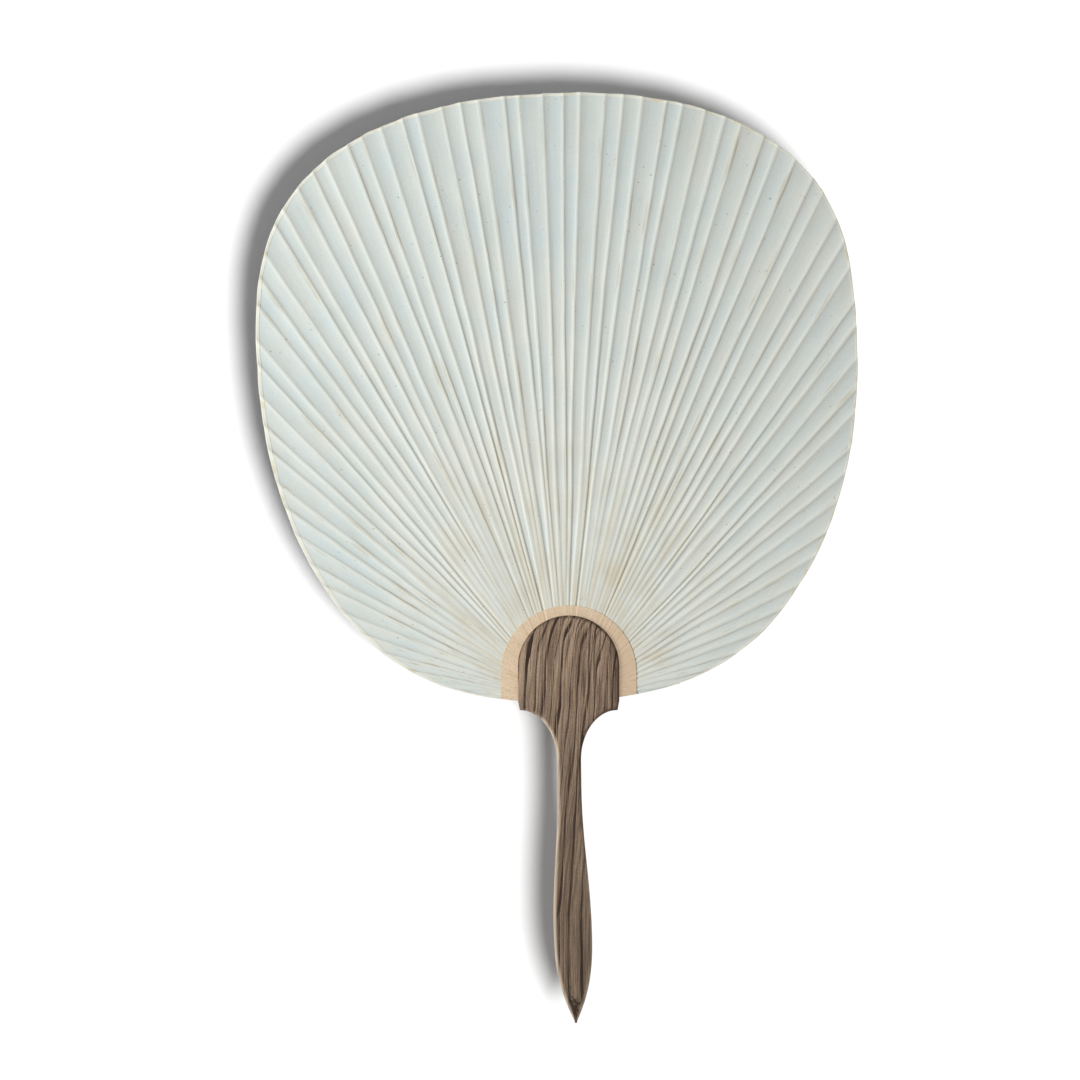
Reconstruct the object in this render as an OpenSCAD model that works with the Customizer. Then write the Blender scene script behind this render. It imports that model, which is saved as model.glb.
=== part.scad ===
// Round paper hand fan: a ridged paper leaf over a spray of split bamboo ribs, pasted
// into the slotted head of a flat wooden handle. All sizes are in millimetres.
// The fan lies on its back. X runs across the leaf, Y from the handle's tip to the
// leaf's top, and Z out of the front face. The origin is on the handle's flat back,
// level with the point where the lines of the upright ribs meet.

/* [Leaf outline] */
// Half the width of the leaf at its widest
leaf_half_w = 122.6; // [100:0.1:150]
// Height of the leaf above its widest line
leaf_crown_h = 107.3; // [90:0.1:140]
// Height of the leaf below its widest line
leaf_skirt_h = 140.9; // [115:0.1:165]
// Squareness of the crown across the leaf
crown_square_x = 2.22; // [2:0.01:3]
// Squareness of the crown along the leaf
crown_square_y = 3.01; // [2.4:0.01:4]
// Squareness of the skirt across the leaf
skirt_square_x = 2.62; // [2.4:0.01:3.2]
// Squareness of the skirt along the leaf
skirt_square_y = 1.95; // [1.8:0.01:2.2]
// Lean of the leaf to the left of the handle, in degrees
leaf_lean = 2.54; // [0:0.02:4]
// Sideways set of the leaf's lowest point from the handle's centre line
leaf_shift = 1.65; // [0:0.05:3]
// Height of the leaf's lowest point above the ribs' meeting point
leaf_foot = 2.3; // [1.8:0.1:4]

/* [Ribs] */
// Angle between the first and the last rib
rib_spread = 165; // [150:0.5:166]
// Width of a rib at the rim
rib_tip_w = 1; // [0.8:0.05:2]
// Width of a rib at its root
rib_root_w = 0.46; // [0.3:0.02:0.5]
// Thickness of a rib at its root
rib_root_t = 1.1; // [0.6:0.05:1.6]
// Thickness of a rib at the rim
rib_tip_t = 1.1; // [0.4:0.05:1.2]
// Length of bare rib past the paper's inner edge
rib_tuck = 4; // [2:0.25:6]
// Most that a hand-set rib strays from its place, in degrees
rib_stray = 0.24; // [0:0.02:0.28]
// How far above the meeting point a level rib's line would start
rib_line_rise = 1.4; // [1:0.1:2.6]
// How far to the right of the handle's centre line the ribs' lines meet
rib_line_shift = -1.3; // [-2:0.1:2]

/* [Paper] */
// Thickness of each leaf paper
paper_t = 0.2; // [0.1:0.02:0.4]
// Run of the paper's slope from a rib's edge down to the panel
slope_run = 0.9; // [0.4:0.05:1.5]
// Width of the binding strip on each face of the rim
binding_w = 1.8; // [1.4:0.1:4]
// Thickness of the binding strip
binding_t = 0.15; // [0.1:0.01:0.3]
// Width of the collar beside the handle's head
collar_side_w = 7; // [4:0.1:10]
// Width of the collar above the handle's head
collar_top_w = 4.1; // [3:0.1:6]
// Thickness of each collar
collar_t = 0.2; // [0.1:0.02:0.4]

/* [Handle head] */
// Width of the head
head_w = 41.4; // [36:0.2:48]
// Height of the head's arch above the ribs' meeting point
head_rise = 37; // [34:0.25:42]
// Depth of the leaf's edge held inside the head
leaf_grip = 4; // [2.5:0.25:5]
// How much the head draws in at each shoulder
shoulder_in = 0.7; // [0:0.1:2]
// Depth of the shoulders below the ribs' meeting point
shoulder_drop = 1.6; // [0.8:0.1:3]
// Thickness of the handle
handle_t = 9; // [7:0.25:12]
// Radius on the handle's long edges
edge_round = 1.5; // [0.5:0.1:2]

/* [Handle grip] */
// Width of the neck
neck_w = 9.8; // [7:0.1:13]
// Height of the curve from the shoulders into the neck
neck_curve_h = 20.6; // [14:0.2:28]
// Distance from the ribs' meeting point to the end of the straight neck
neck_end = 34; // [32:0.5:45]
// Width of the grip at its widest
grip_w = 15.6; // [13.5:0.1:20]
// Distance from the ribs' meeting point to the widest of the grip
grip_widest = 92; // [75:0.5:105]
// Length of the handle below the ribs' meeting point
handle_drop = 129.5; // [115:0.5:150]
// Fullness of the grip's point
point_fullness = 2.55; // [1.8:0.05:3.5]
// Thickness of the handle at its tip
tip_t = 6; // [4:0.25:7]
// Sideways bend of the tip to the right
tip_bend = 3; // [0:0.1:5]

/* [Fits] */
// Paste between two pasted pieces
paste = 0.05; // [0.03:0.01:0.08]
// Room between the head's slot and the collar, on each face
slot_clear = 0.1; // [0.05:0.01:0.25]
// Room between the leaf's lowest edge and the floor of the slot
seat_clear = 0.3; // [0.1:0.05:0.4]
// Room between the paper's edge and the fold of the binding
fold_clear = 0.1; // [0.05:0.01:0.2]
// Room between a rib's end and the paper's edge
rib_end_clear = 0.5; // [0.2:0.05:1]

/* [Hidden] */
// Ribs come in pairs, one from each side, round a single centre rib.
rib_pairs = 34;
rib_count = 2 * rib_pairs + 1;
function pair_name(i) = str("rib_pair_", i < 10 ? "0" : "", i);

// The leaf's middle plane is also the handle's.
mid_z = handle_t / 2;

// The head is an arch, a half circle on two straight sides.
head_r = head_w / 2;
head_centre_y = head_rise - head_r;

// The papers and collars have an arched opening, whose edge is held inside the head.
opening_r = head_r - leaf_grip;

// The collar is a wider arch, set lower, so that it is narrow above and wide beside the head.
collar_r = head_r + collar_side_w;
collar_centre_y = head_rise + collar_top_w - collar_r;

// Heights above the middle plane.
panel_z = paste / 2;
ridge_top_z = rib_root_t / 2 + paste + paper_t;
collar_z = ridge_top_z + paste;
slot_half = collar_z + collar_t + slot_clear;

// Directions of the leaf's own axes, and the middle of its widest line.
leaf_across = [cos(leaf_lean), sin(leaf_lean)];
leaf_up = [-sin(leaf_lean), cos(leaf_lean)];
leaf_centre = [leaf_shift, leaf_foot] + leaf_skirt_h * leaf_up;

// The least sine between a rib and the rim that widths across the rim are worked out with.
least_rim_sine = 0.35;
// Share of the gap to the next rib that the paper's slope may take.
slope_share = 0.42;
// Share of the point's half width that the handle's edge radius may take there.
point_round_share = 0.5;
// How the handle's bend grows towards its tip.
bend_growth = 1.6;
// How far round the angle goes from one hand-set rib's stray to the next, in degrees.
stray_turn = 137.5;
// The least reach that the ribs' spacing is worked out with, as a share of the half width.
least_reach_share = 0.9;
// How much of the ribs' spacing follows their reach: 0 for even angles, 1 for even steps at the rim.
spacing_power = 0.7;
// The least cosine of a rib's angle that the side of an arch is worked out with.
least_cosine = 0.001;
// A distance that is well past the rim from anywhere in the leaf.
past_rim = 400;
// How far along the grip's point its outline is drawn, as shares of the point's length.
point_shares = [0.1, 0.2, 0.3, 0.4, 0.5, 0.6, 0.7, 0.8, 0.9, 0.95, 0.985];
// How far the paper's edge lines stand from its lowest ray, as shares of the way to a rib.
edge_shares = [0.04, 0.16, 0.36, 0.66];
outline_points = 180;
arch_points = 180;
spacing_steps = 120;
round_steps = 3;

// Leaf outline: one curved law above the widest line and one below, in the leaf's own axes.
function square_x(q) = q.y > 0 ? crown_square_x : skirt_square_x;
function square_y(q) = q.y > 0 ? crown_square_y : skirt_square_y;
function half_h(q) = q.y > 0 ? leaf_crown_h : leaf_skirt_h;
function in_leaf_axes(p) = [(p - leaf_centre) * leaf_across, (p - leaf_centre) * leaf_up];
function outside_leaf(p) =
  let (q = in_leaf_axes(p))
  pow(abs(q.x) / leaf_half_w, square_x(q)) + pow(abs(q.y) / half_h(q), square_y(q)) > 1;

// Direction across the rim, pointing out of the leaf, at a point on the outline.
function rim_normal(p) =
  let (
    q = in_leaf_axes(p),
    gx = square_x(q) * pow(abs(q.x) / leaf_half_w, square_x(q) - 1) * sign(q.x) / leaf_half_w,
    gy = square_y(q) * pow(abs(q.y) / half_h(q), square_y(q) - 1) * sign(q.y) / half_h(q),
    g = gx * leaf_across + gy * leaf_up
  )
  g / norm(g);

// Distance from a point in the leaf to the outline along a direction, by halving.
function to_rim(p, dir, near = 0, far = past_rim, halvings = 26) =
  let (mid = (near + far) / 2)
  halvings == 0 ? mid
  : outside_leaf(p + mid * dir) ? to_rim(p, dir, near, mid, halvings - 1)
  : to_rim(p, dir, mid, far, halvings - 1);

function outline(inset) = [
  for (i = [0:outline_points - 1])
    let (
      a = 360 * i / outline_points,
      q = [cos(a), sin(a)],
      x = sign(q.x) * (leaf_half_w - inset) * pow(abs(q.x), 2 / square_x(q)),
      y = sign(q.y) * (half_h(q) - inset) * pow(abs(q.y), 2 / square_y(q))
    )
    leaf_centre + x * leaf_across + y * leaf_up
];

// Where a rib's line starts: level ribs' lines start higher than upright ones'.
function heading(a) = [cos(a), sin(a)];
function rib_start(a) = [rib_line_shift, rib_line_rise * pow(cos(a), 2)];

// Distance along a rib's line to an arch that stands on the handle's centre line.
function to_arch(a, r, centre_y) =
  let (
    rise = centre_y - rib_start(a).y,
    side = (r - sign(cos(a)) * rib_line_shift) / max(abs(cos(a)), least_cosine),
    near = rise * sin(a) - rib_line_shift * cos(a),
    off = rib_line_shift * sin(a) + rise * cos(a)
  )
  side * sin(a) < rise ? side : near + sqrt(max(r * r - off * off, 0));
function to_opening(a) = to_arch(a, opening_r, head_centre_y);
function reach(a) = to_rim(rib_start(a), heading(a), to_opening(a));

// Rib angles: a rib's share of the angle shrinks as its reach grows.
first_angle = 90 + leaf_lean - rib_spread / 2;
least_reach = least_reach_share * leaf_half_w;
spacing_sums = [
  for (
    k = 0, sum = 0, a = first_angle;
    k <= spacing_steps;
    sum = sum + pow(max(reach(a), least_reach), spacing_power),
    k = k + 1,
    a = first_angle + rib_spread * k / spacing_steps
  )
    [sum, a]
];
function stray(i) = i == 0 || i == rib_count - 1 ? 0 : rib_stray * sin(stray_turn * i);
rib_angles = [
  for (i = [0:rib_count - 1])
    lookup(spacing_sums[spacing_steps][0] * i / (rib_count - 1), spacing_sums) + stray(i)
];

// The ends of each rib, as distances along its line.
rib_roots = [for (a = rib_angles) to_opening(a) - rib_tuck];
rib_tips = [for (a = rib_angles) rib_tip(a)];
function rim_sine(p, dir) = max(dir * rim_normal(p), least_rim_sine);
function rib_tip(a) =
  let (r = reach(a))
  r - (binding_t + fold_clear + rib_end_clear) / rim_sine(rib_start(a) + r * heading(a), heading(a));
function along_rib(i, r, root, tip) =
  root + (tip - root) * (r - rib_roots[i]) / (rib_tips[i] - rib_roots[i]);

// The lowest rays of paper, just clear of the leaf's bottom edge on each side of the head.
function bottom_edge(x) = head_centre_y - to_rim([x, head_centre_y], [0, -1]);
right_edge_angle = atan2(bottom_edge(opening_r) - rib_line_rise, opening_r - rib_line_shift);
left_edge_angle = 180 - atan2(bottom_edge(-opening_r) - rib_line_rise, opening_r + rib_line_shift);

// A line of the paper is [start, end, height at the start, height at the end], where a height
// is that of the paper's underside above the middle plane.
function paper_line(start, a_in, a_out, z_in, z_out) = [
  start + to_opening(a_in) * heading(a_in),
  start + to_rim(start, heading(a_out), to_opening(a_out)) * heading(a_out),
  z_in, z_out
];

// Lines beside rib i, on its side s: over its edge, or at the foot of the paper's slope.
function neighbour_gap(i, s) =
  s < 0 ? rib_angles[i] - (i == 0 ? right_edge_angle : rib_angles[i - 1])
  : (i == rib_count - 1 ? left_edge_angle : rib_angles[i + 1]) - rib_angles[i];
function edge_turn(i, r) = atan((along_rib(i, r, rib_root_w, rib_tip_w) / 2 + paste) / r);
function foot_turn(i, r, s) =
  min(
    atan((along_rib(i, r, rib_root_w, rib_tip_w) / 2 + paste + slope_run) / r),
    slope_share * neighbour_gap(i, s)
  );
function ridge_z(i, r) = along_rib(i, r, rib_root_t, rib_tip_t) / 2 + paste;
function ridge_line(i, s) =
  let (a = rib_angles[i], r_in = to_opening(a), r_out = reach(a))
  paper_line(
    rib_start(a), a + s * edge_turn(i, r_in), a + s * edge_turn(i, r_out),
    ridge_z(i, r_in), ridge_z(i, r_out)
  );
function foot_line(i, s) =
  let (a = rib_angles[i], r_in = to_opening(a), r_out = reach(a))
  paper_line(
    rib_start(a), a + s * foot_turn(i, r_in, s), a + s * foot_turn(i, r_out, s), panel_z, panel_z
  );
function edge_line(share, outer, i, s) =
  let (a = outer + share * (rib_angles[i] + s * foot_turn(i, reach(rib_angles[i]), s) - outer))
  paper_line(rib_start(a), a, a, panel_z, panel_z);

last_rib = rib_count - 1;
paper_lines = concat(
  [for (k = [0:3]) edge_line(edge_shares[k], right_edge_angle, 0, -1)],
  [for (i = [0:last_rib]) each [foot_line(i, -1), ridge_line(i, -1), ridge_line(i, 1), foot_line(i, 1)]],
  [for (k = [3:-1:0]) edge_line(edge_shares[k], left_edge_angle, last_rib, 1)]
);

// A point on a paper line, at a distance in from the rim and a height over the underside.
function line_length(l) = norm(l[1] - l[0]);
function line_heading(l) = (l[1] - l[0]) / line_length(l);
function along_line(l, across_rim) =
  min(across_rim / rim_sine(l[1], line_heading(l)), line_length(l) / 2);
function on_line(l, back, lift) =
  let (p = l[1] - back * line_heading(l), share = back / line_length(l))
  [p.x, p.y, l[3] + (l[2] - l[3]) * share + lift];

// A solid through closed rings of points that all run alike. Each side patch folds along
// whichever diagonal lies nearer the middle plane, so slopes hang hollow between ribs.
module loft(rings) {
  count = len(rings);
  size = len(rings[0]);
  points = [for (ring = rings) each ring];
  function at(i, k) = i * size + k % size;
  function height(i, k) = abs(rings[i][k % size].z);
  sides = [
    for (i = [0:count - 2], k = [0:size - 1])
      let (
        a = at(i, k), b = at(i, k + 1), c = at(i + 1, k + 1), d = at(i + 1, k),
        split = height(i, k) + height(i + 1, k + 1) <= height(i, k + 1) + height(i + 1, k)
      )
      each split ? [[a, b, c], [a, c, d]] : [[a, b, d], [b, c, d]]
  ];
  half = size / 2;
  first_end = [for (k = [0:half - 2]) [k, size - 1 - k, size - 2 - k, k + 1]];
  last_end = [
    for (k = [0:half - 2])
      let (o = (count - 1) * size)
      [o + k, o + k + 1, o + size - 2 - k, o + size - 1 - k]
  ];
  polyhedron(points, concat(sides, first_end, last_end));
}

// Leaf papers
module leaf_sheet() {
  loft([
    for (l = paper_lines)
      let (
        opening = line_length(l),
        under_binding = along_line(l, binding_w),
        edge = along_line(l, binding_t + fold_clear)
      )
      [
        on_line(l, opening, paper_t), on_line(l, under_binding, paper_t), on_line(l, edge, paper_t),
        on_line(l, edge, 0), on_line(l, under_binding, 0), on_line(l, opening, 0)
      ]
  ]);
}

module front_paper() {
  color("#d3dad8") translate([0, 0, mid_z]) leaf_sheet();
}

module back_paper() {
  color("#d3dad8") translate([0, 0, mid_z]) mirror([0, 0, 1]) leaf_sheet();
}

// A paper strip folded over the rim, which follows every ridge.
module rim_binding() {
  color("#dad6c4") translate([0, 0, mid_z]) loft([
    for (l = paper_lines)
      let (
        leg = along_line(l, binding_w),
        fold = along_line(l, binding_t),
        inner = paper_t + paste,
        outer = inner + binding_t,
        legs = [
          on_line(l, leg, outer), on_line(l, 0, outer), on_line(l, fold, inner), on_line(l, leg, inner)
        ]
      )
      [
        legs[0], legs[1], turned(legs[1]), turned(legs[0]),
        turned(legs[3]), turned(legs[2]), legs[2], legs[3]
      ]
  ]);
}
function turned(p) = [p.x, p.y, -p.z];

// Paper collars
module arch(r, centre_y, low) {
  translate([0, centre_y]) circle(r, $fn = arch_points);
  translate([-r, low]) square([2 * r, centre_y - low]);
}

module collar_sheet() {
  linear_extrude(collar_t) intersection() {
    difference() {
      arch(collar_r, collar_centre_y, -leaf_foot);
      arch(opening_r, head_centre_y, -2 * leaf_foot);
    }
    polygon(outline(fold_clear));
  }
}

module front_collar() {
  color("#d3b68f") translate([0, 0, mid_z + collar_z]) collar_sheet();
}

module back_collar() {
  color("#d3b68f") translate([0, 0, mid_z - collar_z - collar_t]) collar_sheet();
}

// Ribs: split bamboo, narrow and deep at the root, wide and thin at the rim.
module rib(i) {
  root = rib_roots[i];
  tip = rib_tips[i];
  corner = rib_tip_w / 4;
  color("#cdb98a")
    translate([rib_line_shift, rib_start(rib_angles[i]).y, mid_z])
    rotate(rib_angles[i])
    intersection() {
      linear_extrude(2 * rib_root_t, center = true)
        polygon([
          [root, -rib_root_w / 2], [tip - corner, -rib_tip_w / 2], [tip, corner - rib_tip_w / 2],
          [tip, rib_tip_w / 2 - corner], [tip - corner, rib_tip_w / 2], [root, rib_root_w / 2]
        ]);
      rotate([90, 0, 0])
        linear_extrude(2 * rib_tip_w, center = true)
        polygon([
          [root, -rib_root_t / 2], [tip, -rib_tip_t / 2], [tip, rib_tip_t / 2], [root, rib_root_t / 2]
        ]);
    }
}

module rib_centre() {
  rib(rib_pairs);
}

module rib_pair(i) {
  rib(i - 1);
  rib(rib_count - i);
}

// Handle: one flat board, sawn to an arched head on square shoulders, a slender neck and a
// leaf-shaped grip that ends in a point. The right-hand half of its outline, from the top
// of the arch down to the point, is a row of [half width, height].
arch_half = [for (a = [84:-6:0]) [head_r * cos(a), head_centre_y + head_r * sin(a)]];
shoulder = [head_r - shoulder_in, -shoulder_drop];
shoulder_half = [[head_r, leaf_foot], shoulder];
neck_curve_half = [
  for (a = [9:9:90])
    [shoulder.x - (shoulder.x - neck_w / 2) * sin(a), shoulder.y - neck_curve_h * (1 - cos(a))]
];
swell_half = [
  for (s = [0:0.1:1])
    [neck_w / 2 + (grip_w - neck_w) / 4 * (1 - cos(180 * s)), -neck_end - s * (grip_widest - neck_end)]
];
grip_point_half = [
  for (s = point_shares)
    [grip_w / 2 * (1 - pow(s, point_fullness)), -grip_widest - s * (handle_drop - grip_widest)]
];
half_outline = concat(arch_half, shoulder_half, neck_curve_half, swell_half, grip_point_half);

// The way out of the outline at each of its points, made longer at a corner.
function unit(v) = v / norm(v);
function left_of(v) = [-v.y, v.x];
function outline_way(i) =
  let (
    last = len(half_outline) - 1,
    p = half_outline[i],
    before = i == 0 ? [-p.x, p.y] : half_outline[i - 1],
    after = i == last ? [-p.x, p.y] : half_outline[i + 1],
    n_in = left_of(unit(p - before)),
    n_out = left_of(unit(after - p)),
    way = unit(n_in + n_out)
  )
  way / (way * n_out);

// The board bends towards its tip, and thins from the widest of the grip.
function bend_at(y) = y > 0 ? 0 : tip_bend * pow(-y / handle_drop, bend_growth);
function half_t_at(y) =
  y > -grip_widest ? mid_z
  : mid_z - (handle_t - tip_t) / 2 * pow((-grip_widest - y) / (handle_drop - grip_widest), 2);

// One side of the board at an outline point: down over the front edge and round to the back.
function board_side(i, side) =
  let (
    p = half_outline[i],
    way = outline_way(i),
    e = min(edge_round, p.y < -grip_widest ? point_round_share * p.x : edge_round)
  )
  [
    for (front = [1, -1], k = [0:round_steps])
      let (
        a = 90 * (front > 0 ? round_steps - k : k) / round_steps,
        q = p - e * (1 - cos(a)) * way,
        z = half_t_at(p.y) - e * (1 - sin(a))
      )
      [side * q.x + bend_at(p.y), q.y, front * z]
  ];

module board() {
  loft([
    for (i = [0:len(half_outline) - 1])
      let (left = board_side(i, -1), size = 2 * round_steps + 2)
      concat(board_side(i, 1), [for (k = [size - 1:-1:0]) left[k]])
  ]);
}

slot_floor = min([for (s = [-1:0.25:1]) bottom_edge(s * head_r)]) - seat_clear;

module handle() {
  color("#6f5d4f") difference() {
    translate([0, 0, mid_z]) board();
    translate([-head_w, slot_floor, mid_z - slot_half]) cube([2 * head_w, head_rise, 2 * slot_half]);
  }
}

handle();
front_paper();
back_paper();
rim_binding();
front_collar();
back_collar();
rib_centre();
for (i = [1:rib_pairs]) rib_pair(i);
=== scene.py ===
"""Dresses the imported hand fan: ridged papers, rim binding, collars, wooden handle and bamboo ribs.

Lengths are in metres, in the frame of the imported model: X across the leaf, Y along the handle
towards the leaf, Z out of the front face, and the handle's flat back at Z = 0. Angles in the
leaf are measured from X towards Y. The finishes count in millimetres.
"""

import logging
import math
from collections.abc import Callable, Iterable
from dataclasses import dataclass, field, fields
from enum import Enum

import bmesh
import bpy
import numpy as np
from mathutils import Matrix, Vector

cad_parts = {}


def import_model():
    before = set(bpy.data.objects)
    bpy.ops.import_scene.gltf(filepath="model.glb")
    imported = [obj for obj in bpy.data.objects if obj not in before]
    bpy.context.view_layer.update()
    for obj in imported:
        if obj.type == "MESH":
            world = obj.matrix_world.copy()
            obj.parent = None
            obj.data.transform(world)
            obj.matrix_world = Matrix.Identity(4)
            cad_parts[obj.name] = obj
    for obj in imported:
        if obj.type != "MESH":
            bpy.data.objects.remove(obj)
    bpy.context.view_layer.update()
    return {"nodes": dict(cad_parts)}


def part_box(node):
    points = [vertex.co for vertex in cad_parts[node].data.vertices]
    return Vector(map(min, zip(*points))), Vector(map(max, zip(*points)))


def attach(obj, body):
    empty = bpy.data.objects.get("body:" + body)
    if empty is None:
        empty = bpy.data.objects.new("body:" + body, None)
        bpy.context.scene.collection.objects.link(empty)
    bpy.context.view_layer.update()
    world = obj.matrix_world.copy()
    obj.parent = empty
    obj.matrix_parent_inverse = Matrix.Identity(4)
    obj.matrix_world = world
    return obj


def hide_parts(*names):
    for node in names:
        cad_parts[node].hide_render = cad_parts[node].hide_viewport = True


MM = 0.001
BODY = "root"

log = logging.getLogger("fan")

Colour = tuple[float, float, float, float]
Span = tuple[float, float]


class Face(Enum):
    """The two faces of the fan, by the sign of their height."""

    FRONT = 1
    BACK = -1


class Slot(Enum):
    """The record's material slots."""

    HANDLE = "handle"
    PAPER = "paper"
    BINDING = "binding"
    COLLAR = "collar"
    RIB = "rib"


def srgb(red: int, green: int, blue: int) -> Colour:
    """Turns a colour on the 0 to 255 scale into the linear colour that a socket takes.

    Args:
        red: Red, 0 to 255.
        green: Green, 0 to 255.
        blue: Blue, 0 to 255.

    Returns:
        The linear colour with full alpha.
    """
    shares = [channel / 255 for channel in (red, green, blue)]
    linear = [s / 12.92 if s <= 0.04045 else ((s + 0.055) / 1.055) ** 2.4 for s in shares]
    return (*linear, 1.0)


def node_operator(operation: str, turned: bool = False) -> Callable[..., "Term"]:
    """Makes an operator for terms out of one of Blender's operations on numbers.

    Args:
        operation: Blender's name for the operation.
        turned: Whether the term comes last.

    Returns:
        The operator.
    """

    def work(term: "Term", *others: "Feed") -> "Term":
        """Works the operation out in the term's graph."""
        return term.graph.math(operation, *((*others, term) if turned else (term, *others)))

    return work


class Term:
    """The result of a node, which can be written into sums, products and powers."""

    __add__ = __radd__ = node_operator("ADD")
    __sub__ = node_operator("SUBTRACT")
    __rsub__ = node_operator("SUBTRACT", turned=True)
    __mul__ = __rmul__ = node_operator("MULTIPLY")
    __truediv__ = node_operator("DIVIDE")
    __pow__ = node_operator("POWER")
    __abs__ = node_operator("ABSOLUTE")
    at_least = node_operator("MAXIMUM")
    at_most = node_operator("MINIMUM")

    def __init__(self, graph: "Graph", socket: bpy.types.NodeSocket) -> None:
        """Keeps the graph and the socket that hold the result."""
        self.graph = graph
        self.socket = socket


Feed = Term | float | int | tuple | None
Feeds = dict[str | int, Feed]


@dataclass(frozen=True)
class Fade:
    """A rule that carries a number from one range to another, held at both ends."""

    low: float
    high: float
    start: float = 0.0
    end: float = 1.0
    smooth: bool = True


class Graph:
    """A node tree, written as calls that each add a node and hand back its result."""

    def __init__(self, tree: bpy.types.NodeTree) -> None:
        """Keeps the tree that the nodes go into."""
        self.tree = tree

    def feed(self, socket: bpy.types.NodeSocket, value: Feed) -> None:
        """Links a socket to a result, or sets its own value.

        Args:
            socket: The input to feed.
            value: A result, a plain value, or None to leave the input alone.
        """
        if isinstance(value, Term):
            self.tree.links.new(value.socket, socket)
        elif value is not None:
            socket.default_value = value

    def node(self, kind: str, feeds: Feeds | None = None, **settings: object) -> bpy.types.Node:
        """Adds a node.

        Args:
            kind: Blender's name for the type of node.
            feeds: What goes into its inputs, by name or number.
            settings: The node's own settings.

        Returns:
            The node.
        """
        made = self.tree.nodes.new(kind)
        for name, value in settings.items():
            setattr(made, name, value)
        for name, value in (feeds or {}).items():
            self.feed(made.inputs[name], value)
        return made

    def term(self, kind: str, feeds: Feeds | None = None, output: str | int = 0, **settings: object) -> Term:
        """Adds a node and hands back one of its results."""
        return Term(self, self.node(kind, feeds, **settings).outputs[output])

    def math(self, operation: str, *values: Feed) -> Term:
        """Works out one operation on numbers."""
        return self.term("ShaderNodeMath", dict(enumerate(values)), operation=operation)

    def vector(self, x: Feed = 0.0, y: Feed = 0.0, z: Feed = 0.0) -> Term:
        """Joins three numbers into a vector."""
        return self.term("ShaderNodeCombineXYZ", {0: x, 1: y, 2: z})

    def parts(self, vector: Feed) -> list[Term]:
        """Splits a vector into its three numbers."""
        return [Term(self, part) for part in self.node("ShaderNodeSeparateXYZ", {0: vector}).outputs]

    def scaled(self, vector: Feed, scale: Feed) -> Term:
        """Multiplies a vector by a number."""
        return self.term("ShaderNodeVectorMath", {"Vector": vector, "Scale": scale}, operation="SCALE")

    def fade(self, value: Feed, rule: Fade) -> Term:
        """Carries a number by a rule."""
        easing = "SMOOTHSTEP" if rule.smooth else "LINEAR"
        return self.ramp(value, (rule.low, rule.high), (rule.start, rule.end), easing)

    def ramp(self, value: Feed, source: tuple[Feed, Feed], result: Span, easing: str = "SMOOTHSTEP") -> Term:
        """Carries a number from a source range to a range of results, held at both ends."""
        feeds = dict(enumerate((value, *source, *result)))
        return self.term("ShaderNodeMapRange", feeds, interpolation_type=easing)

    def noise(self, vector: Feed, scale: float, detail: float, rough: float) -> Term:
        """Makes cloudy noise between 0 and 1, of a fineness, a number of finer layers and their strength."""
        feeds = {"Vector": vector, "Scale": scale, "Detail": detail, "Roughness": rough}
        return self.term("ShaderNodeTexNoise", feeds)

    def mix(self, share: Feed, first: Feed, second: Feed) -> Term:
        """Mixes two numbers."""
        return self.term("ShaderNodeMix", {0: share, 2: first, 3: second}, data_type="FLOAT")


@dataclass(frozen=True)
class Streaks:
    """Noise that is drawn out one way, and how it shows as marks.

    The first three sizes say how many streaks there are in one unit across, along and through.
    """

    across: float
    along: float
    through: float = 0.0
    salt: float = 0.0
    shown: Fade = Fade(0.0, 1.0)
    detail: float = 3.0
    rough: float = 0.55

    def noise(self, g: Graph, across: Feed, along: Feed, through: Feed = 0.0) -> Term:
        """Makes the noise, between 0 and 1, at a place across, along and through the streaks."""
        spot = g.vector(across * self.across, along * self.along, through * self.through + self.salt)
        return g.noise(spot, 1.0, self.detail, self.rough)

    def marks(self, g: Graph, across: Feed, along: Feed, through: Feed = 0.0) -> Term:
        """Makes the marks: 0 where there is none and 1 where one is full."""
        return g.fade(self.noise(g, across, along, through), self.shown)


@dataclass(frozen=True)
class Drift(Streaks):
    """Noise that shifts something either way, and the whole size of that shift."""

    size: float = 1.0

    def shift(self, g: Graph, across: Feed, along: Feed, through: Feed = 0.0) -> Term:
        """Gives the shift, below or above 0."""
        return (self.noise(g, across, along, through) - 0.5) * self.size


@dataclass(frozen=True)
class Clouds:
    """Noise that is alike all ways, and how it shows as marks."""

    scale: float
    shown: Fade = Fade(0.0, 1.0)
    detail: float = 3.0
    rough: float = 0.5

    def noise(self, g: Graph, place: Feed) -> Term:
        """Makes the noise, between 0 and 1."""
        return g.noise(place, self.scale, self.detail, self.rough)

    def marks(self, g: Graph, place: Feed) -> Term:
        """Makes the marks: 0 where there is none and 1 where one is full."""
        return g.fade(self.noise(g, place), self.shown)


@dataclass(frozen=True)
class Tilt:
    """A bump: the real height of its pattern, in metres, and how much of its tilt is used."""

    height: float
    strength: float


@dataclass(frozen=True)
class Gloss:
    """How matt a surface is, and how strong its gloss is."""

    roughness: float
    specular: float


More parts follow.
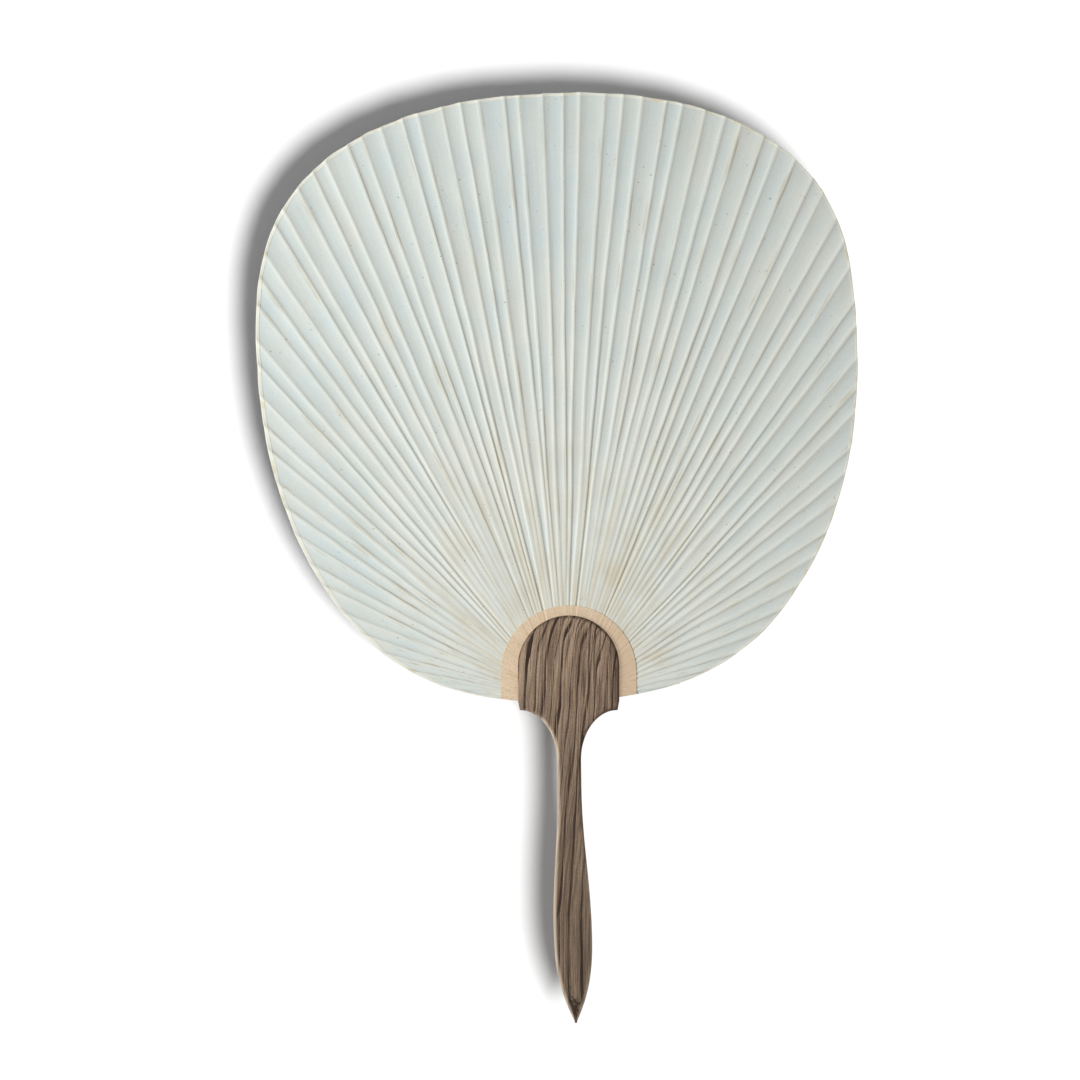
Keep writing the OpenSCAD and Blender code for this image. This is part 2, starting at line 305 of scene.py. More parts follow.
class Painter(Graph):
    """The node tree of a material, with its shader at hand."""

    def __init__(self, name: str) -> None:
        """Starts a material.

        Args:
            name: The material's name.
        """
        self.material = bpy.data.materials.new(name)
        self.material.use_nodes = True
        super().__init__(self.material.node_tree)
        self.shader = self.tree.nodes["Principled BSDF"]

    def place(self) -> Term:
        """Gives the place on the piece, in millimetres."""
        return self.scaled(self.term("ShaderNodeTexCoord", output="Object"), 1 / MM)

    def attribute(self, name: str) -> Term:
        """Reads a number that the mesh holds at each point."""
        return self.term("ShaderNodeAttribute", output="Fac", attribute_name=name)

    def tint(self, share: Feed, first: Feed, second: Feed, way: str = "MIX") -> Term:
        """Mixes two colours in one of Blender's ways."""
        feeds = {0: share, 6: first, 7: second}
        return self.term("ShaderNodeMix", feeds, 2, data_type="RGBA", blend_type=way)

    def layered(self, colour: Feed, *layers: tuple[Feed, Feed]) -> Feed:
        """Lays tints over a colour.

        Args:
            colour: The colour at the bottom.
            layers: The tints from the bottom up, each as its share and its colour.

        Returns:
            The colour that is seen.
        """
        for share, tone in layers:
            colour = self.tint(share, colour, tone)
        return colour

    def shaded(self, colour: Feed, light: Term) -> Term:
        """Multiplies a colour by a number."""
        return self.tint(1.0, colour, self.vector(light, light, light), "MULTIPLY")

    def bump(self, height: Feed, tilt: Tilt, under: Feed = None) -> Term:
        """Tilts the surface as a height from 0 to 1 would, on top of a coarser tilt."""
        feeds = {"Strength": tilt.strength, "Distance": tilt.height, "Height": height, "Normal": under}
        return self.term("ShaderNodeBump", feeds)

    def finish(self, colour: Feed, normal: Feed, gloss: Gloss) -> bpy.types.Material:
        """Feeds the shader.

        Args:
            colour: The surface colour.
            normal: The tilted normal.
            gloss: How the surface shines.

        Returns:
            The finished material.
        """
        names = ("Base Color", "Normal", "Roughness", "Specular IOR Level")
        for name, value in zip(names, (colour, normal, gloss.roughness, gloss.specular)):
            self.feed(self.shader.inputs[name], value)
        return self.material


@dataclass(frozen=True)
class LeafPaperFinish:
    """Off-white handmade paper, a little tanned along the ribs and towards the handle, with painted shade
    mixed into the stain on the ridges' flanks and a painted highlight on their crests.
    """

    white: Colour = srgb(212, 215, 208)
    cool: Colour = srgb(196, 207, 206)
    warm: Colour = srgb(207, 203, 186)
    # Lighter cream for the ridge crests, partly a painted highlight.
    crest: Colour = srgb(224, 222, 208)
    tan: Colour = srgb(193, 180, 152)
    # Olive-tan for the marks on the ridges' flanks: partly paste stain, partly painted shade.
    stain: Colour = srgb(176, 158, 124)
    speck: Colour = srgb(122, 116, 104)
    near_head: Fade = Fade(0.02, 0.45, 1.0, 0.0)
    chill_clouds: Clouds = Clouds(0.05, Fade(0.35, 0.65))
    cloud_share: float = 0.4
    chill_by_reach: Fade = Fade(0.3, 0.8, 0.05, 0.5)
    chill_by_side: Fade = Fade(0.0, 100.0, 1.0, 0.6)
    bands: Streaks = Streaks(0.9, 3.0, salt=2.0, shown=Fade(0.42, 0.62))
    band_shares: Span = (0.2, 0.75)
    crest_highlight_share: float = 0.3
    stripes: Streaks = Streaks(1.5, 6.0, salt=7.0, shown=Fade(0.5, 0.72, 0.0, 0.5))
    broad_stripes: Streaks = Streaks(0.4, 5.0, salt=6.0, shown=Fade(0.5, 0.66, 0.0, 0.5))
    stripe_shares: Span = (0.15, 0.85)
    blots: Streaks = Streaks(3.7, 7.0, salt=4.0, shown=Fade(0.5, 0.68))
    blot_clouds: Clouds = Clouds(0.03, Fade(0.4, 0.6), 2.0)
    blot_foot: Fade = Fade(0.02, 0.35)
    blot_crest: Fade = Fade(0.35, 0.95, 0.75, 0.3)
    patches: Clouds = Clouds(0.06, Fade(0.45, 0.7, 0.0, 0.28))
    mottle: Clouds = Clouds(1.1, Fade(0.25, 0.75, 0.955, 1.03, smooth=False), 4.0, 0.7)
    specks: Clouds = Clouds(0.7, Fade(0.735, 0.76, 0.0, 0.6), 2.0)
    fibres: Streaks = Streaks(6.0, 12.0, salt=5.0)
    fibre_tilt: Tilt = Tilt(0.12 * MM, 0.5)
    grain: Clouds = Clouds(1.6, detail=4.0, rough=0.65)
    grain_tilt: Tilt = Tilt(0.07 * MM, 0.6)
    gloss: Gloss = Gloss(0.82, 0.18)

    def material(self) -> bpy.types.Material:
        """Paints the leaf paper.

        Returns:
            The material.
        """
        p = Painter("leaf_paper")
        place = p.place()
        fan, along, ridge = p.attribute("fan_place"), p.attribute("along"), p.attribute("ridge")
        near_head = p.fade(along, self.near_head)
        chill = self.chill_clouds.marks(p, place) * self.cloud_share + p.fade(along, self.chill_by_reach)
        bands = self.bands.marks(p, fan, along) * p.mix(near_head, *self.band_shares)
        stripes = self.stripes.marks(p, fan, along) + self.broad_stripes.marks(p, fan, along)
        blots = self.blots.marks(p, fan, along) * self.blot_clouds.marks(p, place)
        colour = p.layered(
            self.white,
            (chill * p.fade(p.parts(place)[0], self.chill_by_side), self.cool),
            (bands, self.warm),
            # Partly painted highlight: the ridge crests are tinted a lighter cream, as where they catch the
            # light from the left.
            (ridge * self.crest_highlight_share, self.crest),
            (stripes * p.mix(near_head, *self.stripe_shares), self.tan),
            # Olive-tan marks on the ridges' flanks: partly paste stain, partly painted shade of the ridges'
            # shaded sides.
            (blots * p.fade(ridge, self.blot_foot) * p.fade(ridge, self.blot_crest), self.stain),
            (self.patches.marks(p, place) * near_head, self.tan),
        )
        colour = p.shaded(colour, self.mottle.marks(p, place))
        colour = p.tint(self.specks.marks(p, place), colour, self.speck)
        normal = p.bump(self.fibres.noise(p, fan, along), self.fibre_tilt)
        normal = p.bump(self.grain.noise(p, place), self.grain_tilt, normal)
        return p.finish(colour, normal, self.gloss)


@dataclass(frozen=True)
class BindingFinish:
    """Cream paper strip, yellowed in places by its paste."""

    cream: Colour = srgb(219, 219, 207)
    yellowed: Colour = srgb(206, 198, 170)
    patches: Clouds = Clouds(0.16, Fade(0.5, 0.68, 0.0, 0.8), 4.0, 0.6)
    grain: Clouds = Clouds(1.4, detail=4.0, rough=0.6)
    tilt: Tilt = Tilt(0.12 * MM, 0.6)
    gloss: Gloss = Gloss(0.8, 0.2)

    def material(self) -> bpy.types.Material:
        """Paints the binding.

        Returns:
            The material.
        """
        p = Painter("binding_paper")
        place = p.place()
        colour = p.tint(self.patches.marks(p, place), self.cream, self.yellowed)
        return p.finish(colour, p.bump(self.grain.noise(p, place), self.tilt), self.gloss)


@dataclass(frozen=True)
class CollarFinish:
    """Buff paper with fine fibres that run away from the handle's head, with painted shade that browns its
    right side.
    """

    buff: Colour = srgb(214, 191, 162)
    pale: Colour = srgb(227, 208, 182)
    brown: Colour = srgb(186, 160, 130)
    fibres: Streaks = Streaks(3.1, 9.0, detail=4.0, rough=0.7)
    pale_fibres: Fade = Fade(0.5, 0.66)
    brown_fibres: Fade = Fade(0.47, 0.32)
    grain: Clouds = Clouds(1.1, detail=4.0, rough=0.75)
    pale_grain: Fade = Fade(0.5, 0.7, 0.0, 0.6)
    brown_grain: Fade = Fade(0.47, 0.3, 0.0, 0.6)
    # Painted shade: the collar turns browner towards its right, beside the head.
    browning: Fade = Fade(8.0, 26.0, 0.0, 0.32)
    tilt: Tilt = Tilt(0.06 * MM, 0.6)
    gloss: Gloss = Gloss(0.75, 0.22)

    def material(self) -> bpy.types.Material:
        """Paints the collar.

        Returns:
            The material.
        """
        p = Painter("collar_paper")
        place = p.place()
        fibres = self.fibres.noise(p, p.attribute("fan_place"), p.attribute("along"))
        grain = self.grain.noise(p, place)
        colour = p.layered(
            self.buff,
            (p.fade(fibres, self.pale_fibres), self.pale),
            (p.fade(fibres, self.brown_fibres), self.brown),
            (p.fade(grain, self.pale_grain), self.pale),
            (p.fade(grain, self.brown_grain), self.brown),
            # Painted shade: brown laid over the collar's right side.
            (p.fade(p.parts(place)[0], self.browning), self.brown),
        )
        return p.finish(colour, p.bump(grain + fibres, self.tilt), self.gloss)


@dataclass(frozen=True)
class WoodFinish:
    """Grey-brown wood with dark, open growth lines that lean and part along the handle."""

    pale: Colour = srgb(183, 158, 133)
    middle: Colour = srgb(125, 105, 88)
    deep: Colour = srgb(84, 63, 48)
    dark: Colour = srgb(38, 21, 11)
    red: Colour = srgb(118, 84, 70)
    # Pale colour of the left rounding, a painted highlight, and of the grip's paler right edge.
    sapwood: Colour = srgb(203, 184, 162)
    pitch: Fade = Fade(-80.0, -25.0, 4.8, 3.6)
    first_ring: float = 20.0
    lean: float = 0.13
    lean_end: float = -85.0
    head_lean: float = 0.04
    head_height: float = 33.0
    head_curl: float = 3.2
    curl_power: float = 4.0
    depth_lean: float = 0.35
    drifts: tuple[Drift, ...] = (
        Drift(0.08, 0.018, 0.08, detail=2.0, rough=0.5, size=5.0),
        Drift(0.25, 0.12, salt=3.0, rough=0.5, size=0.3),
        Drift(0.2, 0.004, salt=7.0, detail=1.0, rough=0.5, size=4.5),
    )
    fibres: Streaks = Streaks(1 / 0.9, 1 / 48.0, 1.0, rough=0.65)
    threads: Streaks = Streaks(1 / 0.52, 1 / 40.0, 1.0, 5.0, rough=0.65)
    breaks: Streaks = Streaks(1 / 2.4, 1 / 22.0, 1.0, 9.0, rough=0.65)
    thread_straightness: float = 0.75
    tone: Fade = Fade(0.38, 0.62)
    evenness: float = 0.15
    late_wood: Fade = Fade(0.15, 0.9)
    late_shares: Span = (0.15, 0.5)
    warm_breaks: Fade = Fade(0.5, 0.7)
    warm_side: Fade = Fade(2.0, 14.0, 0.1, 0.5)
    line_widths: Span = (0.5, 1.15)
    line_swell: Fade = Fade(-30.0, 0.0, 1.35, 1.0)
    line_edge: Fade = Fade(0.0, 0.12)
    line_end: Fade = Fade(0.7, 1.1, 1.0, 0.0)
    line_strengths: Span = (0.75, 1.0)
    line_breaks: Fade = Fade(0.28, 0.5, 0.7, 1.0)
    pores: Fade = Fade(0.53, 0.6)
    pore_side: Fade = Fade(0.0, 12.0, 0.65, 0.9)
    pore_height: Fade = Fade(-70.0, -30.0, 0.7, 1.0)
    flecks: Fade = Fade(0.46, 0.36, 0.0, 0.75)
    dust: Clouds = Clouds(1.7, Fade(0.3, 0.7, 0.72, 1.24, smooth=False), rough=0.8)
    knot: Span = (1.9, -123.2)
    knot_height_share: float = 0.7
    knot_rags: Clouds = Clouds(0.8, detail=4.0, rough=0.7)
    knot_rag_size: float = 9.0
    knot_edge: Fade = Fade(2.9, 1.9, 0.0, 0.85)
    neck_wear: Fade = Fade(-35.0, 15.0, 0.7, 0.98)
    grip_wear: Fade = Fade(-110.0, -30.0, 0.82, 1.0)
    sap_fibres: Fade = Fade(0.25, 0.6, 0.55, 0.95)
    # How strongly the painted shade darkens the head's right rounding and the arch's edge.
    dark_edge_share: float = 0.75
    fibre_height: float = 0.5
    line_depth: float = 0.7
    relief_tilt: Tilt = Tilt(0.6 * MM, 0.8)
    thread_tilt: Tilt = Tilt(0.16 * MM, 0.8)
    gloss: Gloss = Gloss(0.6, 0.2)

    def across_grain(self, p: Painter, x: Term, y: Term, z: Term) -> Term:
        """Measures across the grain, which leans on the grip and curls in the head.

        Args:
            p: The material's painter.
            x: The place across the handle.
            y: The place along it.
            z: The height.

        Returns:
            The distance across the grain.
        """
        above = y.at_least(0.0)
        lean = y.at_least(self.lean_end).at_most(0.0) * self.lean + above * self.head_lean
        curl = (above / self.head_height) ** self.curl_power * self.head_curl
        drift = sum(each.shift(p, x, y, z) for each in self.drifts)
        return x - lean - curl + z * self.depth_lean + drift

    def growth_lines(self, p: Painter, ring: Term, year: Term, pitch: Term, breaks: Term, y: Term) -> Term:
        """Draws the dark line at the end of each year's growth.

        Args:
            p: The material's painter.
            ring: How much of the year's growth lies before a place.
            year: A number of the year's own.
            pitch: The width of a year's growth.
            breaks: The noise that breaks the lines.
            y: The place along the handle.

        Returns:
            The lines, 1 where they are darkest.
        """
        left = (1.0 - ring) * pitch
        width = p.mix(year, *self.line_widths) * p.fade(y, self.line_swell)
        line = p.fade(left, self.line_edge) * p.fade(left / width, self.line_end)
        return line * p.mix(year, *self.line_strengths) * p.fade(breaks, self.line_breaks)

    def knot_mark(self, p: Painter, place: Term, x: Term, y: Term) -> Term:
        """Draws the ragged knot near the point.

        Args:
            p: The material's painter.
            place: The place on the handle.
            x: The place across the handle.
            y: The place along it.

        Returns:
            The knot, 1 where it is darkest.
        """
        knot_x, knot_y = self.knot
        off_x, off_y = x - knot_x, (y - knot_y) * self.knot_height_share
        away = p.math("SQRT", off_x * off_x + off_y * off_y)
        return p.fade(away + (self.knot_rags.noise(p, place) - 0.5) * self.knot_rag_size, self.knot_edge)

    def material(self) -> bpy.types.Material:
        """Paints the wood.

        Returns:
            The material.
        """
        p = Painter("handle_wood")
        place = p.place()
        x, y, z = p.parts(place)
        across, pitch = self.across_grain(p, x, y, z), p.fade(y, self.pitch)
        rings = across / pitch + self.first_ring
        ring = p.math("FRACT", rings)
        year = p.term("ShaderNodeTexWhiteNoise", {"W": p.math("FLOOR", rings)}, noise_dimensions="1D")
        fibres, breaks = self.fibres.noise(p, across, y, z), self.breaks.noise(p, across, y, z)
        threads = self.threads.noise(p, p.mix(self.thread_straightness, across, x), y, z)
        line = self.growth_lines(p, ring, year, pitch, breaks, y)
        pores = p.fade(threads, self.pores) * p.fade(x, self.pore_side) * p.fade(y, self.pore_height)
        colour = p.layered(
            self.deep,
            (p.fade((fibres + threads) * 0.5, self.tone), self.pale),
            (self.evenness, self.middle),
            (p.fade(ring, self.late_wood) * p.mix(year, *self.late_shares), self.deep),
            (p.fade(breaks, self.warm_breaks) * p.fade(x, self.warm_side), self.red),
            (line, self.dark),
            (pores, self.dark),
            (p.fade(threads, self.flecks), self.pale),
        )
        colour = p.shaded(colour, self.dust.marks(p, place))
        colour = p.tint(self.knot_mark(p, place, x, y), colour, self.dark)
        colour = p.shaded(colour, p.fade(y, self.neck_wear) * p.fade(y, self.grip_wear))
        # Partly painted highlight: the left rounding from the neck down is lightened as if lit by the lamp on
        # the left; on the grip's right edge the pale band is paler wood.
        pale_edge_mark = p.attribute("sapwood_and_lit_edge") * p.fade(fibres, self.sap_fibres)
        # Painted shade: the head's right rounding and the arch's edge are darkened in the colour, where the
        # light from the left does not reach.
        dark_edge = p.attribute("dark_edge") * self.dark_edge_share
        colour = p.layered(colour, (pale_edge_mark, self.sapwood), (dark_edge, self.dark))
        normal = p.bump(fibres * self.fibre_height - line * self.line_depth, self.relief_tilt)
        return p.finish(colour, p.bump(threads, self.thread_tilt, normal), self.gloss)


@dataclass(frozen=True)
class BambooFinish:
    """Split bamboo, straw coloured, with fine straight fibres that fan out with the ribs."""

    straw: Colour = srgb(214, 196, 150)
    brown: Colour = srgb(178, 152, 104)
    fibres: Streaks = Streaks(900.0, 0.05, shown=Fade(0.35, 0.65), detail=4.0, rough=0.5)
    tilt: Tilt = Tilt(0.05 * MM, 0.5)
    gloss: Gloss = Gloss(0.55, 0.3)

    def material(self) -> bpy.types.Material:
        """Paints the bamboo.

        Returns:
            The material.
        """
        p = Painter("split_bamboo")
        x, y, _ = p.parts(p.place())
        fibres = self.fibres.noise(p, p.math("ARCTAN2", y, x), p.math("SQRT", x * x + y * y))
        colour = p.tint(p.fade(fibres, self.fibres.shown), self.brown, self.straw)
        return p.finish(colour, p.bump(fibres, self.tilt), self.gloss)


@dataclass(frozen=True)
class FloorFinish:
    """A plain floor that the studio light turns white, apart from the fan's shadow."""

    grey: float = 0.67
    gloss: Gloss = Gloss(1.0, 0.0)

    def material(self) -> bpy.types.Material:
        """Makes the floor's material."""
        return Painter("studio_floor").finish((self.grey, self.grey, self.grey, 1.0), None, self.gloss)


@dataclass(frozen=True)
class Arch:
    """An arched outline on the handle's centre line: a half circle on two straight sides."""

    radius: float
    centre_y: float
    least_cosine: float = 1e-3

    def distance(self, start: np.ndarray, angle: np.ndarray) -> np.ndarray:
        """Measures along lines out to the arch.

        Args:
            start: Where the lines start, inside the arch.
            angle: The lines' angles.

        Returns:
            The distances along the lines.
        """
        x, rise = start[:, 0], self.centre_y - start[:, 1]
        cosine, sine = np.cos(angle), np.sin(angle)
        side = (self.radius - np.sign(cosine) * x) / np.maximum(np.abs(cosine), self.least_cosine)
        off = x * sine + rise * cosine
        top = rise * sine - x * cosine + np.sqrt(np.maximum(self.radius**2 - off**2, 0))
        return np.where(side * sine < rise, side, top)


@dataclass(frozen=True)
class LeafShape:
    """The leaf's outline: one curved law above its widest line and one below."""

    half_width: float = 122.6 * MM
    crown_height: float = 107.3 * MM
    skirt_height: float = 140.9 * MM
    crown_square: Span = (2.22, 3.01)
    skirt_square: Span = (2.62, 1.95)
    lean: float = math.radians(2.54)
    shift: float = 1.65 * MM
    foot: float = 2.3 * MM
    least_sine: float = 0.35
    halvings: int = 32

    def axes(self) -> tuple[np.ndarray, np.ndarray]:
        """Gives the leaf's own directions, across and up."""
        c, s = math.cos(self.lean), math.sin(self.lean)
        return np.array((c, s)), np.array((-s, c))

    def laws(self, points: np.ndarray) -> tuple[np.ndarray, ...]:
        """Finds points in the leaf's own axes, and the law that holds there.

        Args:
            points: Points in plan.

        Returns:
            The points' places across and up, the two powers of the law and the height it spans.
        """
        across, up = self.axes()
        middle = np.array((self.shift, self.foot)) + self.skirt_height * up
        u, v = (points - middle) @ across, (points - middle) @ up
        crown = v > 0
        power_u = np.where(crown, self.crown_square[0], self.skirt_square[0])
        power_v = np.where(crown, self.crown_square[1], self.skirt_square[1])
        return u, v, power_u, power_v, np.where(crown, self.crown_height, self.skirt_height)

    def fullness(self, points: np.ndarray) -> np.ndarray:
        """Says how far out points lie: below 1 in the leaf, and 1 on its outline."""
        u, v, power_u, power_v, height = self.laws(points)
        return (np.abs(u) / self.half_width) ** power_u + (np.abs(v) / height) ** power_v

    def rim_distance(self, start: np.ndarray, heading: np.ndarray, near: np.ndarray) -> np.ndarray:
        """Measures along lines out to the rim, by halving.

        Args:
            start: Where the lines start.
            heading: Their directions.
            near: Distances that are known to lie in the leaf.

        Returns:
            The distances to the rim.
        """
        low, high = near.copy(), near + 2 * self.skirt_height
        for _ in range(self.halvings):
            middle = (low + high) / 2
            outside = self.fullness(start + middle[:, None] * heading) > 1
            high, low = np.where(outside, middle, high), np.where(outside, low, middle)
        return (low + high) / 2

    def rim_sine(self, points: np.ndarray, heading: np.ndarray) -> np.ndarray:
        """Measures how steeply lines meet the rim.

        Args:
            points: Where they meet it.
            heading: The lines' directions.

        Returns:
            The sine of the angle between each line and the rim, kept above a least value.
        """
        u, v, power_u, power_v, height = self.laws(points)
        slope_u = power_u * (np.abs(u) / self.half_width) ** (power_u - 1) * np.sign(u) / self.half_width
        slope_v = power_v * (np.abs(v) / height) ** (power_v - 1) * np.sign(v) / height
        across, up = self.axes()
        normal = slope_u[:, None] * across + slope_v[:, None] * up
        normal /= np.linalg.norm(normal, axis=1, keepdims=True)
        return np.maximum(np.sum(normal * heading, axis=1), self.least_sine)


@dataclass(frozen=True)
class RibSpray:
    """The lines of the ribs, closer together where they reach further."""

    leaf: LeafShape = LeafShape()
    opening: Arch = Arch(16.7 * MM, 16.3 * MM)
    pairs: int = 34
    spread: float = math.radians(165)
    stray: float = math.radians(0.24)
    stray_turn: float = math.radians(137.5)
    line_rise: float = 1.4 * MM
    line_shift: float = -1.3 * MM
    least_reach_share: float = 0.9
    spacing_power: float = 0.7
    spacing_steps: int = 120

    def start(self, angle: np.ndarray) -> np.ndarray:
        """Gives the points that lines at these angles start from."""
        return np.stack((np.full_like(angle, self.line_shift), self.line_rise * np.cos(angle) ** 2), axis=-1)

    def heading(self, angle: np.ndarray) -> np.ndarray:
        """Gives the lines' directions."""
        return np.stack((np.cos(angle), np.sin(angle)), axis=-1)

    def to_opening(self, angle: np.ndarray) -> np.ndarray:
        """Measures along the lines to the leaf's opening."""
        return self.opening.distance(self.start(angle), angle)

    def reach(self, angle: np.ndarray) -> np.ndarray:
        """Measures along the lines to the rim."""
        return self.leaf.rim_distance(self.start(angle), self.heading(angle), self.to_opening(angle))

    def angles(self) -> np.ndarray:
        """Works out the ribs' angles.

        Returns:
            The angles, from the lowest rib on the right to the lowest on the left.
        """
        count = 2 * self.pairs + 1
        first = math.pi / 2 + self.leaf.lean - self.spread / 2
        table = first + self.spread * np.arange(self.spacing_steps + 1) / self.spacing_steps
        reaches = np.maximum(self.reach(table), self.least_reach_share * self.leaf.half_width)
        sums = np.concatenate(([0], np.cumsum(reaches[:-1] ** self.spacing_power)))
        even = np.interp(np.arange(count) / (count - 1) * sums[-1], sums, table)
        strays = self.stray * np.sin(self.stray_turn * np.arange(count))
        strays[[0, -1]] = 0
        return even + strays

    def edge_angle(self, side: int) -> float:
        """Finds the lowest ray that clears the leaf's bottom edge at the opening.

        Args:
            side: 1 for the right of the leaf, -1 for the left.

        Returns:
            The ray's angle.
        """
        corner = np.array([[side * self.opening.radius, self.opening.centre_y]])
        drop = self.leaf.rim_distance(corner, np.array([[0.0, -1.0]]), np.zeros(1))[0]
        rise = self.opening.centre_y - drop - self.line_rise
        angle = math.atan2(rise, self.opening.radius - side * self.line_shift)
        return angle if side > 0 else math.pi - angle


@dataclass
class Rays:
    """Closely spaced rays of the leaf, with their places between the ribs."""

    spray: RibSpray
    columns: int = 20
    edge_columns: int = 12
    rim_stray: float = 0.2 * MM
    rim_seed: int = 11
    stray_columns: int = 8
    rib_angles: np.ndarray = field(init=False)
    angle: np.ndarray = field(init=False)
    rib: np.ndarray = field(init=False)
    share: np.ndarray = field(init=False)
    start: np.ndarray = field(init=False)
    heading: np.ndarray = field(init=False)
    opening: np.ndarray = field(init=False)
    rim: np.ndarray = field(init=False)
    sine: np.ndarray = field(init=False)

    def __post_init__(self) -> None:
        """Lays the rays out, closest beside the ribs."""
        ribs = self.spray.angles()
        ends = np.concatenate(([self.spray.edge_angle(1)], ribs, [self.spray.edge_angle(-1)]))
        angles, rib, share = [], [], []
        for k in range(len(ends) - 1):
            at_edge = k in (0, len(ends) - 2)
            count = self.edge_columns if at_edge else self.columns
            steps = 0.5 - 0.5 * np.cos(math.pi * np.arange(count) / count)
            angles.append(ends[k] + steps * (ends[k + 1] - ends[k]))
            rib.append(np.full(count, k - 1.0))
            share.append(steps)
        self.angle = np.concatenate((*angles, [ends[-1]]))
        self.rib = np.concatenate((*rib, [rib[-1][-1]]))
        self.share = np.concatenate((*share, [1.0]))
        self.rib_angles = ribs
        self.start = self.spray.start(self.angle)
        self.heading = self.spray.heading(self.angle)
        self.opening = self.spray.to_opening(self.angle)
        self.rim = self.spray.reach(self.angle) + self.rim_stray * self.strays(self.rim_seed)
        self.sine = self.spray.leaf.rim_sine(self.start + self.rim[:, None] * self.heading, self.heading)

    def strays(self, seed: int) -> np.ndarray:
        """Draws a number from -1 to 1 for each ray, so that they wander slowly along the rim."""
        drawn = np.random.default_rng(seed).uniform(-1, 1, len(self.angle) // self.stray_columns + 2)
        return np.interp(np.arange(len(self.angle)) / self.stray_columns, np.arange(len(drawn)), drawn)

    def inset(self, across_rim: np.ndarray | float) -> np.ndarray:
        """Turns widths across the rim into distances back along the rays, kept in the leaf."""
        return np.minimum(across_rim / self.sine, (self.rim - self.opening) / 2)

    def gap(self, points: np.ndarray, rib: np.ndarray) -> np.ndarray:
        """Measures how far points lie from the line of a rib.

        Args:
            points: Points in plan, a row of them for each ray.
            rib: A rib number for each ray, held to the numbers that there are.

        Returns:
            The distances.
        """
        angle = self.rib_angles[np.clip(rib, 0, len(self.rib_angles) - 1).astype(int)]
        start, heading = self.spray.start(angle), self.spray.heading(angle)
        away = points - start[:, None, :]
        return np.abs(away[..., 0] * heading[:, None, 1] - away[..., 1] * heading[:, None, 0])

    def gaps(self, points: np.ndarray, distance: np.ndarray) -> tuple[np.ndarray, np.ndarray]:
        """Measures how far points lie from the ribs before and after them.

        Past the outermost ribs, the edge of the sheet counts as the middle of a panel.

        Args:
            points: Points in plan, a row of them for each ray.
            distance: Their distances along the rays.

        Returns:
            The distances to the rib before and to the rib after.
        """
        before, after = self.gap(points, self.rib), self.gap(points, self.rib + 1)
        first, last = self.rib < 0, self.rib > len(self.rib_angles) - 2
        first_width = 2 * distance * math.sin(self.rib_angles[0] - self.angle[0])
        last_width = 2 * distance * math.sin(self.angle[-1] - self.rib_angles[-1])
        before = np.where(first[:, None], np.maximum(first_width - after, after), before)
        return before, np.where(last[:, None], np.maximum(last_width - before, before), after)


@dataclass
class Ring:
    """The cross-section of a sheet along each ray: a closed ring of points.

    Each array has a row for each ray. The distances run along the rays, the side goes from 1 on
    the front to -1 on the back, and the lift is the height above the paper's underside.
    """

    distance: np.ndarray
    side: np.ndarray
    lift: np.ndarray

    @staticmethod
    def of(stretches: Iterable[tuple[np.ndarray, float, float]]) -> "Ring":
        """Joins stretches of ring, each given by its distances, its side and its lift."""
        rows = [(d, np.full_like(d, side), np.full_like(d, lift)) for d, side, lift in stretches]
        return Ring(*(np.concatenate(parts, axis=1) for parts in zip(*rows)))


def between(first: np.ndarray, last: np.ndarray, count: int) -> np.ndarray:
    """Spaces a number of distances evenly between two ends, for each ray."""
    return first[:, None] + (last - first)[:, None] * np.linspace(0, 1, count)


def keep_numbers(mesh: bpy.types.Mesh, numbers: dict[str, np.ndarray]) -> None:
    """Stores numbers at a mesh's points.

    Args:
        mesh: The mesh.
        numbers: The values, by name.
    """
    for name, values in numbers.items():
        layer = mesh.attributes.new(name, "FLOAT", "POINT")
        layer.data.foreach_set("value", values.astype(np.float32).ravel())


def keep_across(mesh: bpy.types.Mesh, heading: np.ndarray) -> None:
    """Stores the direction across a rib at a mesh's points.

    Args:
        mesh: The mesh.
        heading: The rib's or ray's own direction at each point.
    """
    flat = heading.reshape(-1, 2)
    across = np.stack((-flat[:, 1], flat[:, 0], np.zeros(len(flat))), axis=1)
    layer = mesh.attributes.new("across", "FLOAT_VECTOR", "POINT")
    layer.data.foreach_set("vector", across.astype(np.float32).ravel())


def turned_outwards(mesh: bpy.types.Mesh, sharp: float) -> bpy.types.Mesh:
    """Makes a closed mesh's faces point outwards, and shades it smooth up to an angle.

    Args:
        mesh: The mesh.
        sharp: The angle from which an edge stays sharp.

    Returns:
        The same mesh.
    """
    shell = bmesh.new()
    shell.from_mesh(mesh)
    bmesh.ops.recalc_face_normals(shell, faces=shell.faces)
    shell.to_mesh(mesh)
    shell.free()
    mesh.shade_smooth()
    mesh.set_sharp_from_angle(angle=sharp)
    return mesh


def new_object(name: str, mesh: bpy.types.Mesh) -> bpy.types.Object:
    """Puts a mesh into the scene, unturned at the origin.

    Args:
        name: The object's name.
        mesh: Its mesh.

    Returns:
        The object.
    """
    made = bpy.data.objects.new(name, mesh)
    bpy.context.scene.collection.objects.link(made)
    return made


def as_plain_mesh(worked: bpy.types.Object, name: str) -> bpy.types.Mesh:
    """Takes what an object's modifiers make as a mesh, and removes the object.

    Args:
        worked: The object with its modifiers.
        name: The new mesh's name.

    Returns:
        The plain mesh.
    """
    bpy.context.view_layer.update()
    seen = worked.evaluated_get(bpy.context.evaluated_depsgraph_get())
    mesh = bpy.data.meshes.new_from_object(seen)
    mesh.name = name
    bpy.data.objects.remove(worked)
    return mesh


